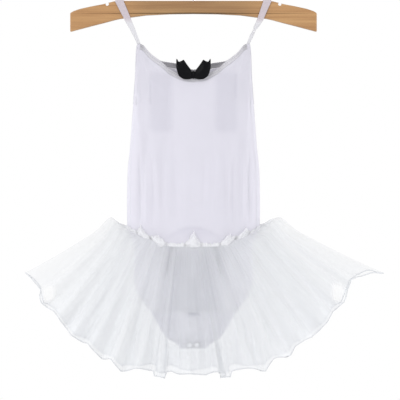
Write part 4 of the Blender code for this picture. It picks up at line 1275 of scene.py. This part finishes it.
def make_lace():
    """Stretch lace: off-white band with eyelets, and a greyer thread along its top."""
    material, tree, shader = new_material("elastic_lace_band", 0.75, sheen=0.15)
    axes = add(tree, "SeparateXYZ", {0: add(tree, "UVMap", uv_map="cloth").outputs[0]})
    step = maths(tree, "DIVIDE", axes.outputs["X"], SCALLOP)
    inside = maths(tree, "SUBTRACT", maths(tree, "FRACT", step), 0.5)
    across = maths(tree, "MULTIPLY", inside, SCALLOP)
    down = maths(tree, "ADD", axes.outputs["Y"], EYELET_DROP)
    far = maths(tree, "SQRT", maths(tree, "ADD", maths(tree, "POWER", across, 2.0),
                                    maths(tree, "POWER", down, 2.0)))
    hole = add(tree, "MapRange", {0: far, 1: EYELET_EDGE[0], 2: EYELET_EDGE[1], 3: 1.0, 4: 0.0})
    weave = woven(tree, 0.0007, 0.0005)
    shade = maths(tree, "MULTIPLY_ADD", hole.outputs[0], -0.25, 1.0)
    # the eyelets are darker, and so are the trim's marked places, with painted shadow at the corners
    paint(tree, shader, (0.80, 0.78, 0.83), mottled(tree, 0.005, 0.05), shade,
          fading(tree, "doubled"))
    raised_height = maths(tree, "MULTIPLY_ADD", hole.outputs[0], -2.0, weave.outputs["Height"])
    relief(tree, shader, raised_height, 0.0002)
    return material


LACE = make_lace()


def make_trim(side):
    """Lace along the neckline, from one corner to the other, and its stitches' path.

    It has a painted shadow at the strap corners, and is darker beside the bow and all along the back.
    """
    angles = half_turn(TRIM_COLUMNS)
    angles = angles[np.abs(np.sin(angles)) < CORNER_SHARE - 0.004]
    top = edge_height(NECKLINE, np.sin(angles), side)
    base = panel(top, top - TRIM_HEIGHT, TRIM_ROWS, side, angles)
    uv = cloth_uv(base)
    up = np.linspace(1, 0, TRIM_ROWS + 1)[:, None]
    wave = np.abs(np.sin(pi * uv[0, :, 0] / SCALLOP)) - 1
    base[..., 2] += SCALLOP_HEIGHT * wave * np.clip((up - 0.75) / 0.25, 0, 1)
    swell = LACE_SWELL * np.sin(pi * up) + LACE_LEAN * up
    points = base + outward(base, side) * swell[..., None]
    x = np.abs(base[..., 0])
    corner, near_bow = bump(x, *CORNER_DARK), bump(x, *BOW_DARK)
    if side == FRONT:
        speck = np.sin(uv[..., 0] * 2900) * np.sin(uv[..., 1] * 1700 + uv[..., 0] * 700)
        # painted shadow where the straps meet the corners
        dark = LACE_SHADE + CORNER_PAINTED_SHADOW * corner
        dark = dark + near_bow * (BOW_SHADE + SPECK_SHADE * np.clip(speck, 0, 1))
        dark = dark + RIM_SHADE * np.clip((up - RIM_SHARE) / (1 - RIM_SHARE), 0, 1)
    else:
        dark = BACK_SHADE + MIDDLE_SHADE * np.clip((MIDDLE_EDGE - x) / MIDDLE_SOFT, 0, 1)
    item = surface("neck_%s_lace" % WORD[side], points, uv, flip=side == FRONT, doubled=dark)
    path = points[-2] + outward(base, side)[-2] * (TRIM_WALL / 2 + THREAD_RADIUS * 0.6)
    shell(item, TRIM_WALL)
    return wear(item, LACE, "elastic_lace", "neck_trim_" + WORD[side]), path


trim, lace_path = {}, {}
for side in (FRONT, BACK):
    trim[side], lace_path[side] = make_trim(side)
    print(trim[side].name, "area", round(area_of(trim[side]), 5))

# %% Armhole and leg bindings
ARMHOLE_Z, LEG_Z = (-0.1240, -0.2080), (-0.4580, -0.5480)
BINDING_RADIUS, BINDING_SQUASH, BINDING_TURN, BINDING_STEPS = 0.0009, 0.6, 0.04, 90
bindings = {FRONT: [], BACK: []}
for side, word in WORD.items():
    for hand, way in HANDS.items():
        for part, (top, foot) in (("armhole", ARMHOLE_Z), ("leg", LEG_Z)):
            z = np.linspace(top, foot, BINDING_STEPS)
            edge = body_points(np.full(z.shape, way * (pi / 2 - BINDING_TURN)), z, side)
            edge[:, 1] = side * np.maximum(side * edge[:, 1], BINDING_RADIUS * 0.55 + 0.0002)
            cord = tube("%s_%s_%s_binding" % (part, word, hand), edge, BINDING_RADIUS,
                        sides=10, squash=BINDING_SQUASH)
            wear(cord, BINDING, "white_jersey")
            bindings[side].append((part, cord))
print("bindings:", sum(len(row) for row in bindings.values()))

# %% [markdown]
# ## The straps
# Two narrow bands of woven elastic go from the front corners over the board to the
# back corners. Each lies flat on the board's faces and turns round its top edge, and
# narrows a little where it is pulled tight above the bodice.

# %% Straps
BOARD_THICKNESS, BOARD_TOP, BOARD_EDGE_RADIUS = 0.012, -0.0615, 0.0015
LAYER_GAP = 0.0004
FACE_Y = BOARD_THICKNESS / 2 + LAYER_GAP + WALL / 2
TURN_RADIUS = BOARD_EDGE_RADIUS + LAYER_GAP + WALL / 2
STRAP_TOP_Z = BOARD_TOP - BOARD_EDGE_RADIUS
STRAPS = {
    # x, half width, distance in front of the middle, z
    "left": ((-0.0774, 0.0026, 0.0101, -0.1224), (-0.0800, 0.0028, 0.0094, -0.1160),
             (-0.0862, 0.0038, 0.0078, -0.1020), (-0.0925, 0.0048, FACE_Y, -0.0890),
             (-0.0985, 0.0056, FACE_Y, -0.0760), (-0.1046, 0.0061, FACE_Y, STRAP_TOP_Z)),
    "right": ((0.0774, 0.0022, 0.0101, -0.1224), (0.0810, 0.0026, 0.0094, -0.1140),
              (0.0870, 0.0034, 0.0080, -0.1010), (0.0940, 0.0046, FACE_Y, -0.0885),
              (0.0990, 0.0050, FACE_Y, -0.0760), (0.1042, 0.0058, FACE_Y, STRAP_TOP_Z)),
}
STRAP_ROWS, STRAP_COLUMNS, TURN_STEPS = 60, 12, 10
STRAP_WALL = 0.0009
STRAP_TWIST = {"left": 0.0, "right": radians(62)}
TWIST_Z, TWIST_REACH = -0.1035, 0.0100
WOOD_FOOT, WOOD_SOFT = -0.0935, 0.008


def strap_points(rows, twist):
    """Ribbon from the front corner to the back: smooth along, and across at a twist.

    Up the front each value is read smoothly against the height; over the top the band
    follows a quarter circle to the middle of the board, and the back is its mirror.
    """
    table = np.array(rows)
    z = np.linspace(table[0, 3], table[-1, 3], STRAP_ROWS)
    x, half, y = (smooth_curve(z, table[:, 3], table[:, k]) for k in (0, 1, 2))
    front = np.stack([x, -y, z, half], axis=-1)
    turn = np.linspace(0, pi / 2, TURN_STEPS + 1)[1:]
    turn_y = BOARD_THICKNESS / 2 - BOARD_EDGE_RADIUS
    over = np.stack([np.full(TURN_STEPS, table[-1, 0]), -turn_y - TURN_RADIUS * np.cos(turn),
                     STRAP_TOP_Z + TURN_RADIUS * np.sin(turn),
                     np.full(TURN_STEPS, table[-1, 1])], axis=-1)
    path = np.concatenate([front, over])
    path = np.concatenate([path, path[::-1] * [1, -1, 1, 1]])
    across = np.linspace(-1, 1, STRAP_COLUMNS + 1)[None, :, None]
    turned = twist * bump(path[:, 2], TWIST_Z, TWIST_REACH)
    side_way = np.stack([np.cos(turned), np.sin(turned), np.zeros(len(path))], axis=-1)
    return path[:, None, :3] + across * (path[:, 3:4] * side_way)[:, None]


for hand, rows in STRAPS.items():
    points = strap_points(rows, STRAP_TWIST[hand])
    across = np.linspace(-1, 1, STRAP_COLUMNS + 1)
    along = run_length(points[:, 0])
    uv = np.stack(np.broadcast_arrays(across[None, :] * 0.005, along[:, None]), axis=-1)
    item = surface("strap_%s_band" % hand, points, uv, flip=True,
                   over_wood=np.clip((points[..., 2] - WOOD_FOOT) / WOOD_SOFT, 0, 1))
    shell(item, STRAP_WALL)
    wear(item, STRAP_ELASTIC, "strap_elastic", "strap_" + hand)
    print(item.name, "length", round(float(along[-1]), 3), "area", round(area_of(item), 5))

# %% [markdown]
# ## Seams and stitches
# The side seams are narrow welts where front and back meet. Thread holds the lace to
# the neckline, the frill to the waist, the gusset to the brief and the strap's ends to
# the corners. A stitch is a small spindle of thread, and a row is one mesh of them.

# %% Seams
SEAM_TOP, SEAM_FOOT, SEAM_RADIUS = -0.2098, -0.4560, 0.0006
ROW_OFF, ROW_OUT = 0.0014, JERSEY_WALL / 2 + 0.0001
for hand, way in HANDS.items():
    z = np.linspace(SEAM_TOP, SEAM_FOOT, 160)
    welt = np.stack([way * level(z, 1), np.zeros(z.shape), z], axis=-1)
    wear(tube("side_%s_seam" % hand, welt, SEAM_RADIUS, sides=8), BINDING, "white_jersey")
angles = np.linspace(-pi / 2 + 0.10, pi / 2 - 0.10, 120)
gusset_seam = {shift: body_points(angles, np.full(angles.shape, GUSSET_Z + shift), FRONT)
               for shift in (-ROW_OFF, 0.0, ROW_OFF)}
welt = gusset_seam[0.0] + [0, -0.0003, 0]
wear(tube("gusset_seam_welt", welt, SEAM_RADIUS, sides=8), BINDING, "white_jersey")

# %% Stitches
STITCH_PITCH, STITCH_LENGTH, STITCH_RINGS, STITCH_SIDES = 0.0024, 0.0017, 5, 6


def stitches(name, path):
    """Row of stitches: a spindle of thread at every pitch along a path.

    Its radius is the thread's times the square root of the sine from end to end.
    """
    step = run_length(path)
    share = np.linspace(0, 1, STITCH_RINGS)
    count = int(step[-1] / STITCH_PITCH)
    at = np.arange(count)[:, None] * STITCH_PITCH + STITCH_LENGTH * share
    middle = np.stack([np.interp(at, step, path[:, axis]) for axis in range(3)], axis=-1)
    along = unit(middle[:, -1] - middle[:, 0])
    across = unit(np.cross(along, (0.0, 1.0, 0.0)))
    up = np.cross(along, across)
    turn = np.linspace(0, 2 * pi, STITCH_SIDES, endpoint=False)[:, None]
    ring = across[:, None] * np.cos(turn) + up[:, None] * np.sin(turn)
    radius = THREAD_RADIUS * np.sqrt(np.sin(pi * np.clip(share, 0.06, 0.94)))
    points = middle[:, :, None] + ring[:, None] * radius[:, None, None]
    index = np.arange(points.size // 3).reshape(points.shape[:3])
    ahead = np.roll(index, -1, axis=2)
    sides = np.stack([index[:, :-1], ahead[:, :-1], ahead[:, 1:], index[:, 1:]], axis=-1)
    ends = np.concatenate([index[:, 0, ::-1], index[:, -1]])
    mesh = bpy.data.meshes.new(name)
    mesh.from_pydata(points.reshape(-1, 3).tolist(), [],
                     sides.reshape(-1, 4).tolist() + ends.tolist())
    face_outward(mesh)
    item = bpy.data.objects.new(name, mesh)
    scene.collection.objects.link(item)
    print(name, "stitches:", count)
    return wear(item, THREAD, "white_jersey")


for side, word in WORD.items():
    stitches("neck_%s_stitches" % word, lace_path[side])
    stitches("waist_%s_stitches" % word, frill_path[side])
for shift, word in ((ROW_OFF, "upper"), (-ROW_OFF, "lower")):
    stitches("gusset_%s_stitches" % word, gusset_seam[shift] + [0, -ROW_OUT, 0])
BAR_X, BAR_HALF, BAR_TOP, BAR_FOOT = 0.0768, 0.0016, -0.1234, -0.1290
for hand, way in HANDS.items():
    for side, word in WORD.items():
        z = np.array([BAR_TOP, BAR_TOP, BAR_FOOT, BAR_FOOT, BAR_TOP])
        x = way * (BAR_X + BAR_HALF * np.array([-1, 1, 1, -1, -1]))
        box = body_points(np.arcsin(np.clip(x / level(z, 1), -1, 1)), z, side)
        stitches("strap_%s_%s_stitches" % (hand, word), box + [0, side * ROW_OUT, 0])

# %% [markdown]
# ## The bow
# A small bow of black satin sits on the middle of the neckline: two wings, each with
# two pointed tips and a soft fold down its middle that catches the light, and a knot
# wrapped round them. Each wing is a pillow between a top and a lower outline.

# %% Bow
BOW_Z, BOW_BACK_Y = -0.1660, -0.0152
KNOT = (0.0036, 0.0034, 0.0064)
WING_MIDDLE_Y = BOW_BACK_Y - 0.0038
WING = np.array([
    # x from the middle, top, foot, half depth
    (0.0010, 0.0012, -0.0052, 0.0012), (0.0024, 0.0040, -0.0060, 0.0018),
    (0.0040, 0.0073, -0.0066, 0.0023), (0.0065, 0.0105, -0.0071, 0.0029),
    (0.0095, 0.0146, -0.0072, 0.0034), (0.0118, 0.0180, -0.0071, 0.0036),
    (0.0136, 0.0206, -0.0068, 0.0037), (0.0146, 0.0205, -0.0065, 0.0038),
    (0.0172, 0.0188, -0.0050, 0.0037), (0.0200, 0.0180, -0.0028, 0.0034),
    (0.0212, 0.0182, -0.0012, 0.0031), (0.0228, 0.0212, 0.0030, 0.0024),
    (0.0238, 0.0220, 0.0070, 0.0017), (0.0244, 0.0206, 0.0100, 0.0010),
])
WING_SECTIONS, WING_SIDES, WING_REACH, WING_OPEN = 90, 72, 0.0245, 0.012
KNOT_RINGS, KNOT_SIDES, KNOT_DROP = 26, 48, 0.0008
PLEATS, PLEAT_DEPTH, KNOT_ROUND = 9, 0.05, 0.6
WING_FOLDS = ((0.52, 0.10, 0.0009), (0.74, 0.09, -0.0006), (0.28, 0.10, -0.0006))


def make_wing(hand, way):
    """One wing: an oval section carried outwards between the two outlines.

    Folds run out from the knot at a share of the height, as soft ridges on its face.
    """
    reach = np.linspace(WING[0, 0], WING[-1, 0], WING_SECTIONS)[:, None]
    top, foot, half = (np.interp(reach, WING[:, 0], WING[:, k]) for k in (1, 2, 3))
    turn = np.linspace(0, 2 * pi, WING_SIDES, endpoint=False)[None, :]
    high = np.sin(turn)
    up = (top + foot) / 2 + (top - foot) / 2 * high
    face = np.sign(np.cos(turn)) * np.abs(np.cos(turn)) ** 0.8
    share = 0.5 + 0.5 * high
    open_up = np.clip((reach - WING[0, 0]) / WING_OPEN, 0, 1)
    fold = sum(deep * np.exp(-((share - place - 0.12 * (reach / WING_REACH - 0.5)) / wide) ** 2)
               for place, wide, deep in WING_FOLDS)
    out = face * (half + fold * open_up)
    points = np.stack([way * reach + np.zeros(up.shape), WING_MIDDLE_Y + out, BOW_Z + up], axis=-1)
    uv = np.stack(np.broadcast_arrays(np.linspace(0, 0.05, WING_SIDES + 1)[None, :],
                                      reach), axis=-1)
    item = surface("bow_%s_wing" % hand, points, uv, wrap=True, flip=way > 0)
    close_ends(item.data, WING_SIDES, WING_SECTIONS)
    return wear(item, SATIN, "black_satin", "bow_" + hand)


def make_knot():
    """Knot: a pleated barrel whose half sizes are those of the solid."""
    up = half_turn(KNOT_RINGS - 1)[:, None]
    turn = np.linspace(0, 2 * pi, KNOT_SIDES, endpoint=False)[None, :]
    pleat = 1 + PLEAT_DEPTH * np.cos(PLEATS * turn) * np.cos(up)
    round_up = np.cos(up) ** KNOT_ROUND
    points = np.stack([KNOT[0] * 0.9 * round_up * np.cos(turn) * pleat,
                       BOW_BACK_Y - KNOT[1] + KNOT[1] * round_up * np.sin(turn) * pleat,
                       BOW_Z - KNOT_DROP + KNOT[2] * 0.85 * np.sin(up) + np.zeros(turn.shape)],
                      axis=-1)
    uv = np.stack(np.broadcast_arrays(np.linspace(0, 0.02, KNOT_SIDES + 1)[None, :],
                                      KNOT[2] * np.sin(up)), axis=-1)
    item = surface("bow_knot_wrap", points, uv, wrap=True)
    close_ends(item.data, KNOT_SIDES, KNOT_RINGS)
    return wear(item, SATIN, "black_satin", "bow_knot")


for hand, way in HANDS.items():
    make_wing(hand, way)
make_knot()

# %% [markdown]
# ## The snaps
# Two small press studs close the crotch. Each is turned from a profile: a rolled rim
# round a dished middle with a low boss.

# %% Snaps
SNAP_Z, SNAP_FACE_Y, SNAP_STEPS = -0.5490, -0.0016, 48
SNAP_X, SNAP_RIM_DARKENING = {"left": -0.0052, "right": 0.0048}, 0.94
SNAP_PROFILE = np.array([
    (0.00002, 0.0009), (0.0009, 0.00088), (0.0013, 0.0006), (0.0018, 0.0005), (0.0022, 0.0007),
    (0.0025, 0.0013), (0.0030, 0.00155), (0.0036, 0.0014), (0.0041, 0.0009), (0.0043, 0.0004),
    (0.0043, 0.0001), (0.0042, 0.0000), (0.00002, 0.0000),
])
for hand, x in SNAP_X.items():
    turn = np.linspace(0, 2 * pi, SNAP_STEPS, endpoint=False)[None, :]
    radius, height = SNAP_PROFILE[:, :1], SNAP_PROFILE[:, 1:]
    points = np.stack([x + radius * np.cos(turn), SNAP_FACE_Y - height + 0 * turn,
                       SNAP_Z + radius * np.sin(turn)], axis=-1)
    # darker on the outer side of the rolled rim
    groove = SNAP_RIM_DARKENING * np.clip((radius - 0.0030) / 0.0008, 0, 1) + 0 * turn
    snap = surface("snap_%s_cap" % hand, points, wrap=True, groove=groove)
    close_ends(snap.data, SNAP_STEPS, len(SNAP_PROFILE))
    wear(snap, SNAP_METAL, "snap_metal", "snap_" + hand)
print("snaps:", len(SNAP_X))

# %% [markdown]
# ## The cut of the cloth
# The skirt's halves are cut wide and flared and then drawn up; the rest is nearly flat.
# The last cell prints the names of the materials.


# %% Materials made
print("materials:", sorted(material.name for material in bpy.data.materials))
